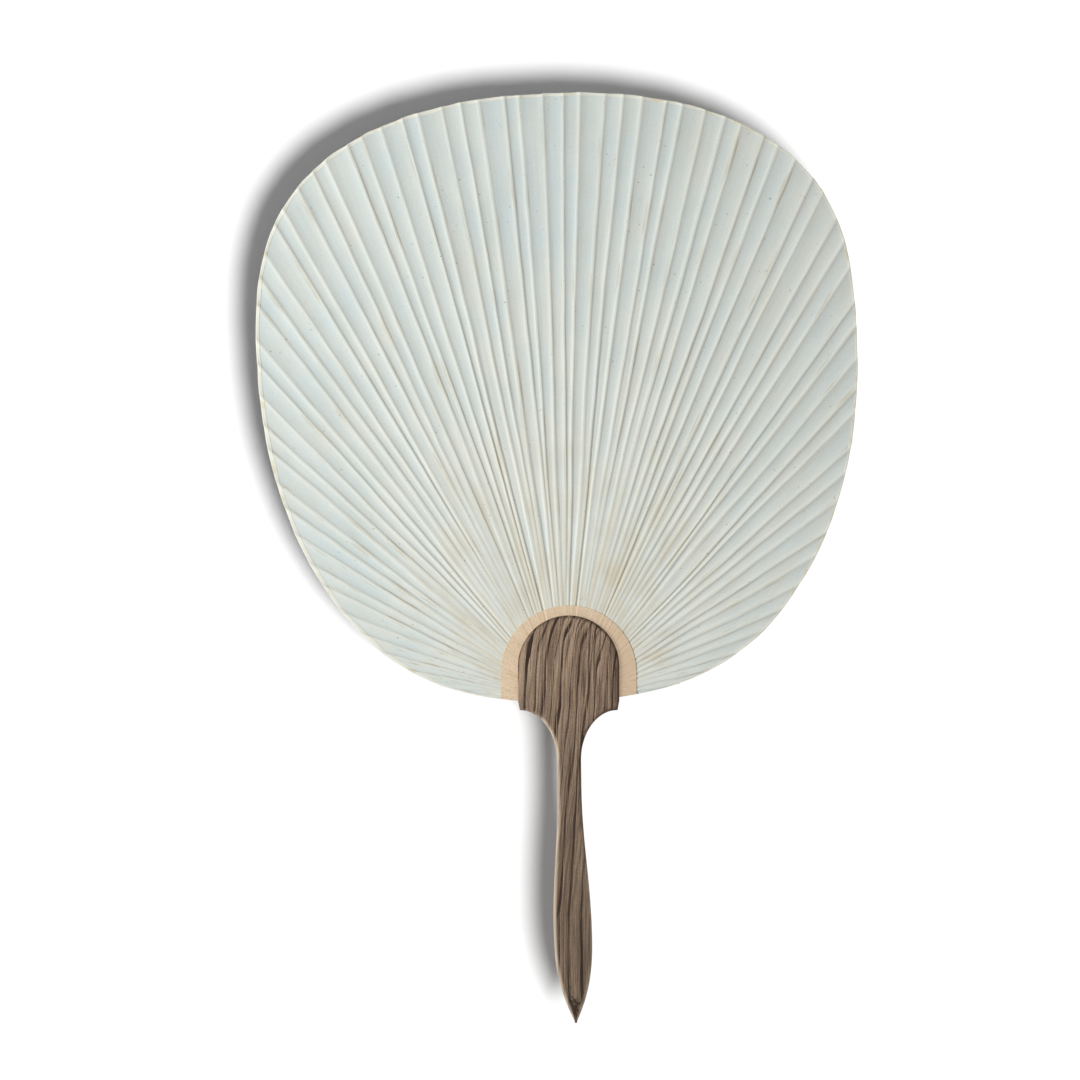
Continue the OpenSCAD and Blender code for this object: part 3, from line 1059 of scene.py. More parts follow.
def joined(name: str, points: np.ndarray) -> bpy.types.Mesh:
    """Joins rings of points into closed tubes with flat ends.

    Args:
        name: The mesh's name.
        points: The points, by tube, by ring along it and by place round the ring.

    Returns:
        The mesh.
    """
    at = np.arange(points[..., 0].size).reshape(points.shape[:3])
    here, there = at[:, :-1], at[:, 1:]
    quads = np.stack((here, np.roll(here, -1, 2), np.roll(there, -1, 2), there), axis=-1)
    faces = quads.reshape(-1, 4).tolist() + at[:, 0].tolist() + at[:, -1].tolist()
    mesh = bpy.data.meshes.new(name)
    mesh.from_pydata(points.reshape(-1, 3).tolist(), [], faces)
    return mesh


def hand_over(name: str, mesh: bpy.types.Mesh, slot: Slot, nodes: Iterable[str], sharp: float) -> None:
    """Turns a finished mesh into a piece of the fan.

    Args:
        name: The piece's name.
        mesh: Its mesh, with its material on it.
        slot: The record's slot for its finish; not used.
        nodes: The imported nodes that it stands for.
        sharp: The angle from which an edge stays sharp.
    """
    piece = new_object(name, turned_outwards(mesh, sharp))
    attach(piece, BODY)
    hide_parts(*nodes)
    log.info("%s: %d faces", name, len(mesh.polygons))


class Draw(Enum):
    """The numbers that are drawn for each rib, and what is added to the seed for each."""

    HALF_WIDTH = 1
    GROWTH = 3
    SLACK = 7
    RUN_BEFORE = 11
    RUN_AFTER = 12
    FOLD = 21


class Shaper(Graph):
    """A tree of geometry nodes, with its inputs at hand."""

    def __init__(self, name: str, inputs: dict[str, float | int]) -> None:
        """Starts a tree that is given a geometry, these numbers and a material.

        Args:
            name: The tree's name.
            inputs: The numbers' names and values.
        """
        super().__init__(bpy.data.node_groups.new(name, "GeometryNodeTree"))
        kinds = {float: "Float", int: "Int"}
        for title, way, kind in (
            ("Geometry", "INPUT", "Geometry"),
            *((title, "INPUT", kinds[type(value)]) for title, value in inputs.items()),
            ("Material", "INPUT", "Material"),
            ("Geometry", "OUTPUT", "Geometry"),
        ):
            made = self.tree.interface.new_socket(title, in_out=way, socket_type="NodeSocket" + kind)
            if title in inputs:
                made.default_value = inputs[title]
        given = self.node("NodeGroupInput").outputs
        self.given = {title: Term(self, given[title]) for title in ("Geometry", *inputs, "Material")}

    def held(self, name: str, kind: str = "FLOAT") -> Term:
        """Reads what the mesh holds under a name."""
        return self.term("GeometryNodeInputNamedAttribute", {"Name": name}, "Attribute", data_type=kind)

    def chance(self, rib: Feed, draw: Draw, spread: Span = (0.0, 1.0)) -> Term:
        """Draws one of a rib's numbers from a range."""
        feeds = {2: spread[0], 3: spread[1], "ID": rib, "Seed": self.given["Seed"] + draw.value}
        return self.term("FunctionNodeRandomValue", feeds, 1, data_type="FLOAT")

    def push(self, share: Term) -> Term:
        """Gives a shift across the ribs, by a share of the most that it may be."""
        return self.scaled(self.held("across", "FLOAT_VECTOR"), share * self.given["Wobble"])

    def close(self, shaped: Term) -> None:
        """Ends the tree: makes the geometry real and gives it its material.

        Args:
            shaped: The shaped geometry.
        """
        whole = self.term("GeometryNodeRealizeInstances", {"Geometry": shaped})
        feeds = {"Geometry": whole, "Material": self.given["Material"]}
        self.node("NodeGroupOutput", {"Geometry": self.term("GeometryNodeSetMaterial", feeds)})


@dataclass(frozen=True)
class RibWork:
    """What the two trees of geometry nodes share: their inputs and how they are run.

    Each field that is a number becomes an input of the tree, with the same name.
    """

    wobble: float = 0.95 * MM
    seed: int = 4
    slow_stray: Drift = Drift(7.31, 1.7, 1.0, detail=1.0, rough=0.5, size=4.0)
    slow_start: Fade = Fade(0.0, 0.3)
    slow_end: Fade = Fade(0.3, 1.0, 1.0, 0.35)
    quick_stray: Drift = Drift(5.17, 13.0, 1.0, detail=2.0, rough=0.5, size=0.7)
    quick_start: Fade = Fade(0.1, 0.4)

    def inputs(self) -> dict[str, float | int]:
        """Gives the tree's inputs by name."""
        values = {each.name.replace("_", " ").capitalize(): getattr(self, each.name) for each in fields(self)}
        return {title: value for title, value in values.items() if isinstance(value, (float, int))}

    def shape(self, g: Shaper) -> Term:
        """Adds the nodes that shape the given geometry, and hands back the result."""
        raise NotImplementedError

    def wander(self, g: Shaper, rib: Term, along: Term) -> Term:
        """Says how a rib strays sideways along its length, none at its root and little at the rim.

        Args:
            g: The tree that the rule goes into.
            rib: The rib's number.
            along: The place along it, 0 at the handle and 1 at the rim.

        Returns:
            The stray, as a share of the most that it may be.
        """
        held = g.fade(along, self.slow_start) * g.fade(along, self.slow_end)
        slow = self.slow_stray.shift(g, rib, along, g.given["Seed"]) * held
        return slow + self.quick_stray.shift(g, rib, along, g.given["Seed"]) * g.fade(along, self.quick_start)

    def run(self, name: str, flat: bpy.types.Mesh, material: bpy.types.Material) -> bpy.types.Mesh:
        """Runs the tree on a mesh.

        Args:
            name: The name of the finished mesh.
            flat: The mesh to shape.
            material: Its finish.

        Returns:
            The shaped mesh.
        """
        inputs = self.inputs()
        g = Shaper(type(self).__name__, inputs)
        g.close(self.shape(g))
        worked = new_object(name + "_flat", flat)
        modifier = worked.modifiers.new("shape", "NODES")
        modifier.node_group = g.tree
        values = inputs | {"Material": material}
        for item in g.tree.interface.items_tree:
            if item.in_out == "INPUT" and item.name in values:
                modifier[item.identifier] = values[item.name]
        return as_plain_mesh(worked, name)


@dataclass(frozen=True)
class RibBend(RibWork):
    """Bends straight ribs sideways, as hand-set ribs bend under their papers."""

    def shape(self, g: Shaper) -> Term:
        """Moves each rib sideways along its length."""
        push = g.push(self.wander(g, g.held("rib"), g.held("along")))
        return g.term("GeometryNodeSetPosition", {"Geometry": g.given["Geometry"], "Offset": push})


@dataclass(frozen=True)
class Relief(RibWork):
    """The rule that raises flat paper over the ribs and lets it hang between them.

    The flat sheet holds, at each point, its distances to the ribs before and after it, its rib
    number, its share of the way between them, its place along the rays, its side and its lift.
    """

    middle: float = 4.5 * MM
    crest: float = 0.6 * MM
    crest_growth: float = 0.14 * MM
    root_half_width: float = 0.26 * MM
    rim_half_width: float = 0.52 * MM
    half_width_spread: Span = (0.65, 1.2)
    flat_share: float = 0.6
    slope_run: float = 0.75 * MM
    run_spread: Span = (0.7, 1.5)
    bowl: float = 1.0
    bowl_blend: float = 0.25
    depth_share: float = 0.17
    panel_height: float = 0.025 * MM
    drape: float = 1.0
    pull_power: float = 1.7
    pull_growth: float = 1.15
    least_pull: float = 0.2
    outer_slack: Span = (0.6, 1.6)
    slack_change: Fade = Fade(0.1, 0.6)
    fold_from: float = 0.955
    fold_gain: float = 2.0
    fold_end: Fade = Fade(0.25, 0.5, 1.0, 0.0)
    flutter: float = 0.26 * MM
    waves: tuple[Drift, ...] = (
        Drift(2.3, 3.0, salt=1.0, detail=2.0, rough=0.5, size=0.6),
        Drift(0.8, 9.0, salt=2.0, detail=2.0, rough=0.5),
    )
    wave_room: Fade = Fade(1.0 * MM, 5.0 * MM, 0.25, 1.0)
    creases: tuple[int, ...] = (29, 39)
    crease_depth: float = 0.6 * MM
    crease_side: Fade = Fade(0.0, 1.0, 1.0, 0.0)
    crease_end: Fade = Fade(0.25, 0.7, 1.0, 0.0)

    def crest_height(self, g: Shaper, rib: Term, along: Term) -> Term:
        """Gives the height of a rib's ridge."""
        return g.given["Crest"] + g.given["Crest growth"] * g.chance(rib, Draw.GROWTH) * along

    def ridge(self, g: Shaper, rib: Term, gap: Term, along: Term, run: Draw) -> Term:
        """Says how far up a rib's ridge a point is.

        Args:
            g: The tree that the rule goes into.
            rib: The rib's number.
            gap: The distance from the rib's line.
            along: The place along the rib.
            run: Which number is drawn for the run of the slope.

        Returns:
            The share, 1 on the ridge and 0 past its foot.
        """
        half = g.mix(along, g.given["Root half width"], g.given["Rim half width"])
        half = half * g.chance(rib, Draw.HALF_WIDTH, self.half_width_spread)
        foot = half + g.given["Slope run"] * g.chance(rib, run, self.run_spread)
        return g.ramp(gap, (half * g.given["Flat share"], foot), (1.0, 0.0))

    def depth(self, g: Shaper, rib: Term, pitch: Term, along: Term) -> Term:
        """Says how deep the paper would hang between two ribs if nothing stopped it.

        Args:
            g: The tree that the rule goes into.
            rib: The number of the rib before.
            pitch: The distance between the two ribs.
            along: The place along them.

        Returns:
            The depth in the middle between them.
        """
        pulled = g.chance(rib, Draw.SLACK) ** g.given["Pull power"] * g.given["Pull growth"]
        outer = g.chance(rib, Draw.SLACK, self.outer_slack)
        slack = g.mix(g.fade(along, self.slack_change), pulled + g.given["Least pull"], outer)
        fold = g.math("GREATER_THAN", g.chance(rib, Draw.FOLD), g.given["Fold from"])
        fold = fold * g.given["Fold gain"] * g.fade(along, self.fold_end)
        return pitch * g.given["Depth share"] * slack * (fold + 1.0)

    def crease(self, g: Shaper, rib: Term, way: Term, along: Term) -> Term:
        """Says how deep the creases above the head are pressed in.

        Args:
            g: The tree that the rule goes into.
            rib: The number of the rib before.
            way: The way between two ribs, from -1 to 1.
            along: The place along them.

        Returns:
            The depth.
        """
        creased = sum(g.math("COMPARE", rib, number, 0.5) for number in self.creases)
        creased = creased * g.fade(abs(way), self.crease_side) * g.fade(along, self.crease_end)
        return creased * g.given["Crease depth"] * g.given["Drape"]

    def shape(self, g: Shaper) -> Term:
        """Raises the sheet, moves it with the ribs and keeps how far each point is up a ridge.

        Args:
            g: The tree that the rule goes into.

        Returns:
            The shaped sheet.
        """
        given = g.given
        names = ("rib", "share", "along", "before", "after", "side", "lift")
        rib, share, along, before, after, side, lift = (g.held(name) for name in names)
        next_rib, pitch = rib + 1.0, before + after
        part = before / pitch
        way = part * 2.0 - 1.0

        top = g.mix(part, self.crest_height(g, rib, along), self.crest_height(g, next_rib, along))
        up = self.ridge(g, rib, before, along, Draw.RUN_BEFORE)
        up = up.at_least(self.ridge(g, next_rib, after, along, Draw.RUN_AFTER))
        hang = g.math("SMOOTH_MAX", up, way * way * given["Bowl"], given["Bowl blend"]).at_most(1.0)
        depth = self.depth(g, rib, pitch, along).at_most(top - given["Panel height"]) * given["Drape"]
        waves = sum(wave.shift(g, rib + share, along) for wave in self.waves)
        soft = waves * given["Flutter"] * (1.0 - up) * g.fade(pitch, self.wave_room)
        level = top - depth * (1.0 - hang) + soft - self.crease(g, rib, way, along)

        lifted = (level.at_least(given["Panel height"]) + lift) * side + given["Middle"]
        x, y, _ = g.parts(g.term("GeometryNodeInputPosition"))
        strays = g.mix(part, self.wander(g, rib, along), self.wander(g, next_rib, along))
        feeds = {"Geometry": given["Geometry"], "Position": g.vector(x, y, lifted), "Offset": g.push(strays)}
        keep = {"Geometry": g.term("GeometryNodeSetPosition", feeds), "Name": "ridge", "Value": up}
        return g.term("GeometryNodeStoreNamedAttribute", keep, data_type="FLOAT", domain="POINT")


@dataclass(frozen=True)
class Leaf:
    """Everything pasted over the ribs: two papers, the rim binding and two collars."""

    rays: Rays
    middle: float
    paper_thickness: float = 0.2 * MM
    paste: float = 0.05 * MM
    binding_width: float = 1.25 * MM
    binding_lean: float = 0.35 * MM
    binding_stray: float = 0.3 * MM
    binding_seed: int = 7
    binding_thickness: float = 0.08 * MM
    fold_radius: float = 0.18 * MM
    fold_degrees: tuple[int, ...] = (60, 30, 0, -30, -60)
    collar_thickness: float = 0.22 * MM
    collar_arch: Arch = Arch(27.7 * MM, 13.4 * MM)
    collar_drape: float = 0.2
    paper_rows: int = 46
    collar_rows: int = 16
    hidden_rows: int = 5
    strip_rows: int = 6
    tucked_rows: int = 3
    sharp: float = math.radians(60)
    collar_sharp: float = math.radians(50)

    def sheet(self, name: str, ring: Ring) -> bpy.types.Mesh:
        """Makes a flat closed sheet that holds what the relief needs.

        Args:
            name: The mesh's name.
            ring: The sheet's cross-section along each ray.

        Returns:
            The flat sheet.
        """
        rays = self.rays
        points = rays.start[:, None, :] + ring.distance[..., None] * rays.heading[:, None, :]
        mesh = joined(name, np.concatenate((points, np.zeros_like(points[..., :1])), axis=2)[None])
        reach = (ring.distance - rays.opening[:, None]) / (rays.rim - rays.opening)[:, None]
        wide = np.ones_like(ring.distance)
        before, after = rays.gaps(points, ring.distance)
        keep_numbers(mesh, {
            "before": before,
            "after": after,
            "rib": rays.rib[:, None] * wide,
            "share": rays.share[:, None] * wide,
            "fan_place": (rays.rib + rays.share)[:, None] * wide,
            "along": np.clip(reach, 0, 1),
            "side": ring.side,
            "lift": ring.lift,
        })
        keep_across(mesh, np.repeat(rays.heading[:, None, :], points.shape[1], axis=1))
        return mesh

    def pasted(self, face: Face, end: np.ndarray, rows: int, lift: float, thickness: float) -> Ring:
        """Draws the cross-section of a skin on one face, from the leaf's opening out to its end.

        Args:
            face: The face that it lies on.
            end: The distances at which it ends.
            rows: How many points there are on its outside.
            lift: How high its underside lies above the paper's.
            thickness: Its thickness.

        Returns:
            The cross-section.
        """
        start = self.rays.opening
        return Ring.of((
            (between(start, end, rows), face.value, lift + thickness),
            (between(end, start, self.hidden_rows), face.value, lift),
        ))

    def skin(self, name: str, ring: Ring, material: bpy.types.Material, drape: float = 1.0) -> bpy.types.Mesh:
        """Makes one of the skins: raises its flat sheet over the ribs, and lets it hang between them."""
        return Relief(middle=self.middle, drape=drape).run(name, self.sheet(name + "_flat", ring), material)

    def paper(self, face: Face, finish: LeafPaperFinish) -> None:
        """Makes one of the leaf's papers.

        Args:
            face: Which face it covers.
            finish: Its finish.
        """
        rays = self.rays
        end = rays.rim - rays.inset(self.binding_thickness + self.paste)
        ring = self.pasted(face, end, self.paper_rows, 0.0, self.paper_thickness)
        side = face.name.lower()
        mesh = self.skin(f"{side}_leaf_paper", ring, finish.material())
        hand_over(mesh.name, mesh, Slot.PAPER, [f"{side}_paper"], self.sharp)

    def binding(self, finish: BindingFinish) -> None:
        """Makes the paper strip that is folded over the rim.

        Args:
            finish: Its finish.
        """
        rays = self.rays
        width = self.binding_width - self.binding_lean * np.cos(rays.angle)
        leg = rays.rim - rays.inset(width + self.binding_stray * rays.strays(self.binding_seed))
        inner = self.paper_thickness + self.paste
        outer = inner + self.binding_thickness
        fold_start = rays.rim - rays.inset(self.fold_radius)
        stretches = [(between(leg, fold_start, self.strip_rows), 1.0, outer)]
        for turn in np.radians(self.fold_degrees):
            fold = rays.rim - rays.inset(self.fold_radius * (1 - math.cos(turn)))
            stretches.append((fold[:, None], math.sin(turn), outer))
        stretches.append((between(fold_start, leg, self.strip_rows), -1.0, outer))
        tucked = rays.rim - rays.inset(self.fold_radius + self.binding_thickness)
        stretches.append((between(leg, tucked, self.tucked_rows), -1.0, inner))
        stretches.append((between(tucked, leg, self.tucked_rows), 1.0, inner))
        mesh = self.skin("rim_strip", Ring.of(stretches), finish.material())
        hand_over(mesh.name, mesh, Slot.BINDING, ["rim_binding"], self.sharp)

    def collar(self, face: Face, finish: CollarFinish) -> None:
        """Makes one of the arched collars round the handle's head.

        Args:
            face: Which face it lies on.
            finish: Its finish.
        """
        rays = self.rays
        edge = rays.rim - rays.inset(self.paste)
        end = np.minimum(self.collar_arch.distance(rays.start, rays.angle), edge)
        lift = self.paper_thickness + self.paste
        ring = self.pasted(face, end, self.collar_rows, lift, self.collar_thickness)
        side = face.name.lower()
        mesh = self.skin(f"{side}_collar_paper", ring, finish.material(), self.collar_drape)
        hand_over(mesh.name, mesh, Slot.COLLAR, [f"{side}_collar"], self.collar_sharp)


@dataclass(frozen=True)
class Handle:
    """The flat wooden handle: an arched, slotted head, a slender neck and a leaf-shaped grip."""

    thickness: float
    head_radius: float = 20.7 * MM
    head_rise: float = 37.0 * MM
    shoulder_in: float = 0.7 * MM
    shoulder_drop: float = 1.6 * MM
    side_foot: float = 2.3 * MM
    neck_width: float = 9.8 * MM
    neck_curve_height: float = 20.6 * MM
    neck_end: float = 34.0 * MM
    grip_width: float = 15.6 * MM
    grip_widest: float = 92.0 * MM
    drop: float = 129.5 * MM
    point_fullness: float = 2.55
    blunt_from: float = 0.965
    tip_thickness: float = 6.0 * MM
    tip_bend: float = 3.0 * MM
    bend_growth: float = 1.6
    edge_round: float = 1.5 * MM
    point_round_share: float = 0.5
    slot_floor: float = 1.63 * MM
    slot_half: float = 1.15 * MM
    edge_mark_start: float = 5.0 * MM
    grip_sap: float = 0.9
    least_slant: float = 0.01
    arch_degrees: tuple[float, ...] = (89.5, *range(86, -1, -4))
    neck_degrees: tuple[float, ...] = tuple(range(9, 91, 3))
    blunt_degrees: tuple[float, ...] = (25, 45, 62, 76, 86)
    grip_rows: int = 24
    round_steps: int = 7
    face_columns: int = 10
    column_power: float = 1.5
    sharp: float = math.radians(40)

    def half_outline(self) -> np.ndarray:
        """Draws the right half of the outline, from the top of the arch to the point.

        Returns:
            Rows of half width and height.
        """
        arch_y = self.head_rise - self.head_radius
        turn = np.radians(self.arch_degrees)
        arch = np.stack((self.head_radius * np.cos(turn), arch_y + self.head_radius * np.sin(turn)), 1)
        shoulder_x = self.head_radius - self.shoulder_in
        side = np.array([[self.head_radius, self.side_foot], [shoulder_x, -self.shoulder_drop]])
        turn = np.radians(self.neck_degrees)
        neck_x = self.neck_width / 2
        neck = np.stack((
            shoulder_x - (shoulder_x - neck_x) * np.sin(turn),
            -self.shoulder_drop - self.neck_curve_height * (1 - np.cos(turn)),
        ), 1)
        s = np.linspace(0, 1, self.grip_rows)
        swell = np.stack((
            neck_x + (self.grip_width - self.neck_width) / 4 * (1 - np.cos(math.pi * s)),
            -self.neck_end - s * (self.grip_widest - self.neck_end),
        ), 1)
        s = np.linspace(0, self.blunt_from, self.grip_rows)[1:]
        point = np.stack((
            self.grip_width / 2 * (1 - s**self.point_fullness),
            -self.grip_widest - s * (self.drop - self.grip_widest),
        ), 1)
        turn = np.radians(self.blunt_degrees)
        left = self.drop + point[-1, 1]
        blunt = np.stack((point[-1, 0] * np.cos(turn), point[-1, 1] - left * np.sin(turn)), 1)
        return np.concatenate((arch, side, neck, swell, point, blunt))

    def ways_out(self, half: np.ndarray) -> np.ndarray:
        """Finds the ways out of the outline.

        Args:
            half: The right half of the outline.

        Returns:
            The way out at each of its points, longer at a corner.
        """
        mirrored = half * (-1, 1)
        whole = np.concatenate((mirrored[:1], half, mirrored[-1:]))
        runs = np.diff(whole, axis=0)
        runs /= np.linalg.norm(runs, axis=1, keepdims=True)
        normals = np.stack((-runs[:, 1], runs[:, 0]), 1)
        ways = normals[:-1] + normals[1:]
        ways /= np.linalg.norm(ways, axis=1, keepdims=True)
        return ways / np.sum(ways * normals[1:], axis=1, keepdims=True)

    def bend(self, y: float) -> float:
        """Gives how far the handle has bent to the right at a height."""
        return self.tip_bend * (max(-y, 0) / self.drop) ** self.bend_growth

    def half_thickness(self, y: float) -> float:
        """Gives half the handle's thickness at a height."""
        past = max(-self.grip_widest - y, 0) / (self.drop - self.grip_widest)
        return self.thickness / 2 - (self.thickness - self.tip_thickness) / 2 * past**2

    def ring(self, point: np.ndarray, way: np.ndarray) -> tuple[list, list[float], list[float]]:
        """Makes the ring of points round the handle at one outline point.

        Args:
            point: The outline point, as half width and height.
            way: The way out of the outline there.

        Returns:
            The ring's points, and how far each is round the left edge and round the right one.
        """
        x, y = point
        slant = max(abs(way[0]), self.least_slant)
        round_here = min(self.edge_round, self.point_round_share * x / slant)
        high = self.half_thickness(y)
        corner, turned = [], []
        for k in range(self.round_steps + 1):
            turn = math.pi / 2 * k / self.round_steps
            inset = round_here * (1 - math.sin(turn))
            corner.append((*(point - inset * way), high - round_here * (1 - math.cos(turn))))
            turned.append(math.sin(turn))
        shares = np.linspace(1, -1, self.face_columns + 2)[1:-1]
        shares = np.sign(shares) * (1 - (1 - np.abs(shares)) ** self.column_power)
        flat = [(corner[0][0] * share, corner[0][1], high) for share in shares[::-1]]
        left = [(-px, py, pz) for px, py, pz in corner[::-1]]
        front = left + flat + corner
        none, elsewhere = [0.0] * len(flat), [0.0] * len(turned)
        on_left, on_right = turned[::-1] + none + elsewhere, elsewhere + none + turned
        back = [(px, py, -pz) for px, py, pz in front[::-1]]
        whole = [(px + self.bend(py), py, pz + self.thickness / 2) for px, py, pz in front + back]
        return whole, on_left + on_left[::-1], on_right + on_right[::-1]

    def board(self) -> bpy.types.Mesh:
        """Makes the board before its slot is sawn.

        Returns:
            The closed board.
        """
        half = self.half_outline()
        made = [self.ring(point, way) for point, way in zip(half, self.ways_out(half))]
        rings, on_left, on_right = (np.array(rows) for rows in zip(*made))
        mesh = joined("board", rings[None])
        height = half[:, 1:]
        on_neck = np.clip((-self.shoulder_drop - height) / self.edge_mark_start, 0, 1)
        on_grip = np.clip(-height / self.grip_widest * 2 - 1, 0, 1)
        on_arch = np.clip((height - self.head_rise + self.head_radius) / self.head_radius, 0, 1)
        keep_numbers(mesh, {
            # A pale band on the left rounding below the shoulders, a painted highlight, and on the grip's
            # right edge, paler wood.
            "sapwood_and_lit_edge": on_left * on_neck + self.grip_sap * on_right * on_grip,
            # Painted shade: dark on the head's right rounding and on the arch's edge.
            "dark_edge": on_right * (1 - on_neck) + on_left * on_arch,
        })
        return turned_outwards(mesh, math.pi)

    def slot_cutter(self) -> bpy.types.Object:
        """Makes the block that saws the slot for the leaf.

        Returns:
            The block.
        """
        low = (-2 * self.head_radius, self.slot_floor, self.thickness / 2 - self.slot_half)
        high = (2 * self.head_radius, 2 * self.head_rise, self.thickness / 2 + self.slot_half)
        block = bmesh.new()
        bmesh.ops.create_cube(block, size=1)
        for corner in block.verts:
            corner.co = [b if c > 0 else a for a, b, c in zip(low, high, corner.co)]
        mesh = bpy.data.meshes.new("slot_cutter")
        block.to_mesh(mesh)
        block.free()
        return new_object("slot_cutter", mesh)

    def build(self, finish: WoodFinish) -> None:
        """Makes the handle and dresses it.

        Args:
            finish: Its wood.
        """
        worked = new_object("board", self.board())
        cutter = self.slot_cutter()
        saw = worked.modifiers.new("slot", "BOOLEAN")
        saw.operation = "DIFFERENCE"
        saw.solver = "EXACT"
        saw.object = cutter
        mesh = as_plain_mesh(worked, "wooden_handle")
        bpy.data.objects.remove(cutter)
        mesh.materials.clear()
        mesh.materials.append(finish.material())
        hand_over("wooden_handle", mesh, Slot.HANDLE, ["handle"], self.sharp)


@dataclass(frozen=True)
class Ribs:
    """The split bamboo ribs inside the leaf: narrow at the root, wider towards the rim."""

    rays: Rays
    middle: float
    root_width: float = 0.46 * MM
    tip_width: float = 1.0 * MM
    thickness: float = 1.1 * MM
    tuck: float = 4.0 * MM
    end_gap: float = 0.75 * MM
    stations: int = 26
    bevel: float = 0.2
    sharp: float = math.radians(40)

    def flat(self) -> bpy.types.Mesh:
        """Makes all the ribs, still straight.

        Returns:
            One mesh that knows which rib each point is on.
        """
        rays = self.rays
        angle = rays.rib_angles
        start, heading = rays.spray.start(angle), rays.spray.heading(angle)
        opening, rim = rays.spray.to_opening(angle), rays.spray.reach(angle)
        sine = rays.spray.leaf.rim_sine(start + rim[:, None] * heading, heading)
        root, tip = opening - self.tuck, rim - self.end_gap / sine
        shares = np.linspace(0, 1, self.stations)
        reach = root[:, None] + (tip - root)[:, None] * shares
        half = (self.root_width + (self.tip_width - self.root_width) * shares) / 2
        tall, cut = self.thickness / 2, self.bevel
        ring = np.array([(1, 1 - cut), (1 - cut, 1), (cut - 1, 1), (-1, 1 - cut)])
        ring = np.concatenate((ring, -ring))
        sides = np.stack((-heading[:, 1], heading[:, 0]), axis=1)
        plan = (start[:, None] + reach[..., None] * heading[:, None])[:, :, None, :]
        plan = plan + (half[None, :, None] * ring[None, None, :, 0])[..., None] * sides[:, None, None, :]
        height = np.broadcast_to(self.middle + tall * ring[:, 1], plan.shape[:3])
        points = np.concatenate((plan, height[..., None]), axis=3)
        mesh = joined("ribs_straight", points)
        along = np.clip((reach - opening[:, None]) / (rim - opening)[:, None], 0, 1)
        keep_numbers(mesh, {
            "rib": np.repeat(np.arange(len(angle)), self.stations * len(ring)),
            "along": np.repeat(along.ravel(), len(ring)),
        })
        keep_across(mesh, np.repeat(heading, self.stations * len(ring), axis=0))
        return mesh

    def build(self, finish: BambooFinish, nodes: Iterable[str]) -> None:
        """Makes the ribs, bent as the paper's ridges are, and dresses them."""
        mesh = RibBend().run("bamboo_ribs", self.flat(), finish.material())
        hand_over("bamboo_ribs", mesh, Slot.RIB, nodes, self.sharp)


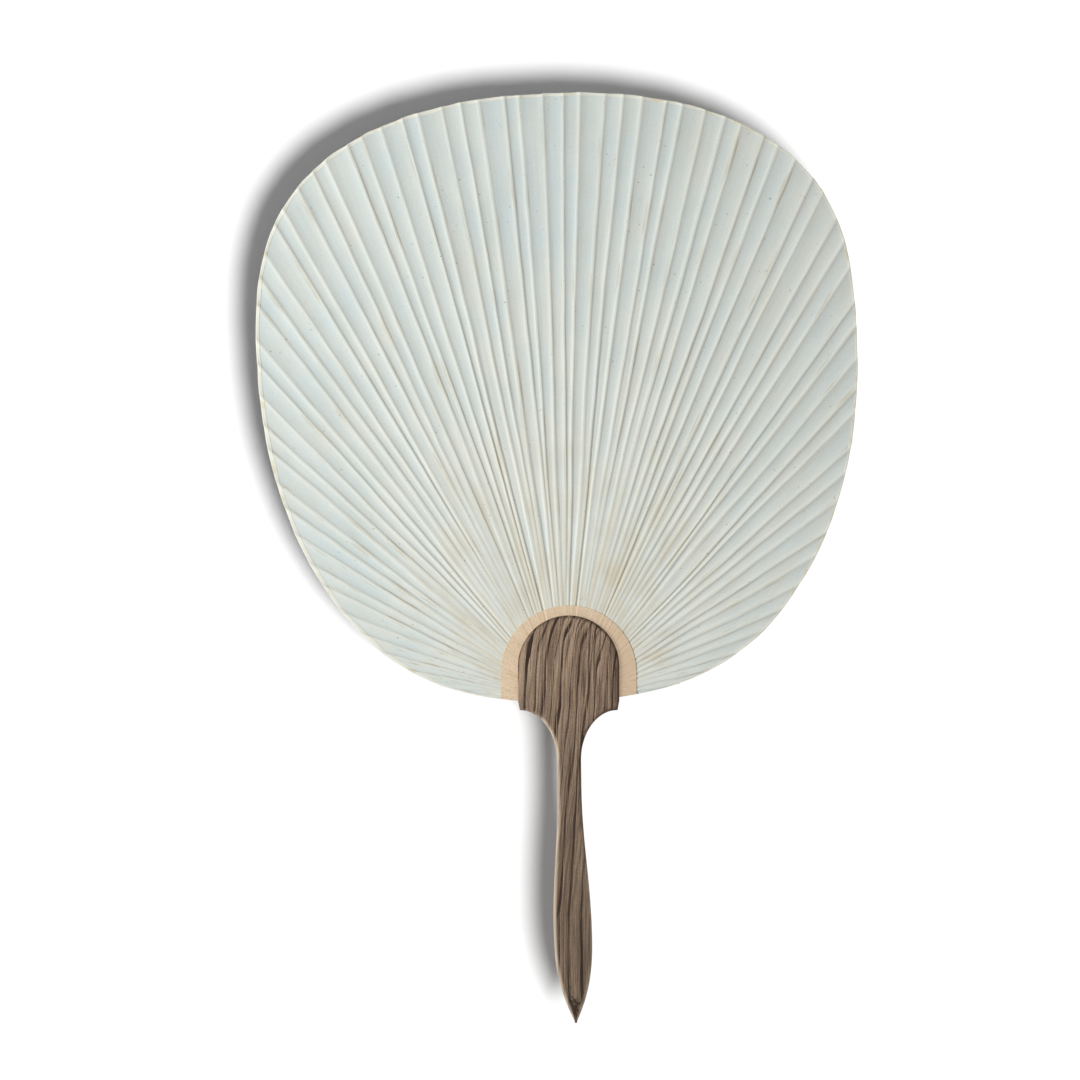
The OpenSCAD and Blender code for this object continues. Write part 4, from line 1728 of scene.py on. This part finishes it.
@dataclass(frozen=True)
class Studio:
    """A white floor, soft light from the left and a camera straight above the fan."""

    view_width: float = 441.1 * MM
    view_centre: Span = (-11.7 * MM, 67.8 * MM)
    lens: float = 400.0
    sensor: float = 36.0
    key_distance: float = 1.15
    key_height: float = math.radians(40)
    key_power: float = 9.5
    high_height: float = math.radians(63)
    high_power: float = 2.9
    key_size: float = 0.42
    sky: float = 0.39
    shadow_height: float = math.radians(65.6)
    shadow_from: float = math.radians(-47.6)
    shadow_blur: float = math.radians(19)
    shadow_power: float = 4.3
    floor_drop: float = 24.0 * MM
    floor_size: float = 6.0

    def camera(self, height: float) -> None:
        """Sets the camera above the leaf's plane.

        Args:
            height: The height of that plane.
        """
        data = bpy.data.cameras.new("camera")
        data.lens, data.sensor_width = self.lens, self.sensor
        holder = bpy.data.objects.new("camera", data)
        holder.location = (*self.view_centre, height + self.view_width * self.lens / self.sensor)
        bpy.context.scene.collection.objects.link(holder)
        bpy.context.scene.camera = holder

    def lamp(self, name: str, kind: str, energy: float, away: tuple[float, float, float]) -> bpy.types.Object:
        """Adds a lamp that shines at the middle of the view.

        Args:
            name: The lamp's name.
            kind: Blender's name for its type.
            energy: Its power.
            away: Where it stands from the middle of the view.

        Returns:
            The lamp.
        """
        data = bpy.data.lights.new(name, kind)
        data.energy = energy
        made = bpy.data.objects.new(name, data)
        made.location = (self.view_centre[0] + away[0], self.view_centre[1] + away[1], away[2])
        pitch = math.acos(away[2] / math.hypot(*away))
        made.rotation_euler = (0, pitch, math.atan2(away[1], away[0]))
        bpy.context.scene.collection.objects.link(made)
        return made

    def soft_lamp(self, name: str, power: float, height: float) -> bpy.types.Object:
        """Adds a soft lamp on the left.

        Args:
            name: The lamp's name.
            power: Its power.
            height: The angle that it stands above the floor at.

        Returns:
            The lamp.
        """
        made = self.lamp(name, "AREA", power, (
            -self.key_distance * math.cos(height), 0, self.key_distance * math.sin(height)
        ))
        made.data.size = self.key_size
        return made

    def floor(self, finish: FloorFinish) -> bpy.types.Object:
        """Lays the white floor, so far below the fan that its shadow falls soft and clear of it.

        Args:
            finish: Its finish.

        Returns:
            The floor.
        """
        half = self.floor_size / 2
        mesh = bpy.data.meshes.new("floor")
        plan = ((-half, -half), (half, -half), (half, half), (-half, half))
        mesh.from_pydata([(x, y, -self.floor_drop) for x, y in plan], [], [(0, 1, 2, 3)])
        mesh.materials.append(finish.material())
        made = new_object("floor", mesh)
        return made

    def sky_light(self) -> None:
        """Lights the world evenly, and shows it white."""
        world = bpy.data.worlds.new("sky")
        bpy.context.scene.world = world
        world.use_nodes = True
        g = Graph(world.node_tree)
        rays = g.node("ShaderNodeLightPath").outputs
        kinds = ("Is Camera Ray", "Is Glossy Ray", "Is Transmission Ray")
        direct, glossy, through = (Term(g, rays[kind]) for kind in kinds)
        seen = direct.at_least(glossy).at_least(through)
        backdrop = g.tree.nodes["Background"]
        backdrop.inputs["Color"].default_value = (1, 1, 1, 1)
        g.feed(backdrop.inputs["Strength"], g.mix(seen, self.sky, 1.0))

    def build(self, height: float) -> None:
        """Sets up the whole studio.

        Args:
            height: The height of the leaf's plane.
        """
        self.camera(height)
        self.sky_light()
        floor = self.floor(FloorFinish())
        key = self.soft_lamp("key", self.key_power, self.key_height)
        high = self.soft_lamp("high", self.high_power, self.high_height)
        c, s = math.cos(self.shadow_height), math.sin(self.shadow_height)
        away = (c * math.cos(self.shadow_from), c * math.sin(self.shadow_from), s)
        caster = self.lamp("shadow_caster", "SUN", self.shadow_power, away)
        caster.data.angle = self.shadow_blur
        for lamp, state in ((caster, "INCLUDE"), (key, "EXCLUDE"), (high, "EXCLUDE")):
            lit = bpy.data.collections.new(lamp.name + "_floor")
            lit.objects.link(floor)
            lit.collection_objects[0].light_linking.link_state = state
            lamp.light_linking.receiver_collection = lit
        blocked = bpy.data.collections.new("key_blockers")
        blocked.objects.link(bpy.data.objects["wooden_handle"])
        blocked.collection_objects[0].light_linking.link_state = "EXCLUDE"
        key.light_linking.blocker_collection = blocked
        bpy.context.scene.view_settings.view_transform = "Standard"


def main() -> None:
    """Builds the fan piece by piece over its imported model."""
    logging.basicConfig(level=logging.INFO, format="%(name)s: %(message)s")
    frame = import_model()
    low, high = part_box("handle")
    thickness = high.z - low.z
    rays = Rays(RibSpray())
    leaf = Leaf(rays, thickness / 2)
    for face in Face:
        leaf.paper(face, LeafPaperFinish())
        leaf.collar(face, CollarFinish())
    leaf.binding(BindingFinish())
    Handle(thickness).build(WoodFinish())
    rib_nodes = sorted(node for node in frame["nodes"] if node.startswith("rib_"))
    Ribs(rays, thickness / 2).build(BambooFinish(), rib_nodes)
    Studio().build(thickness / 2)


if __name__ == "__main__":
    main()
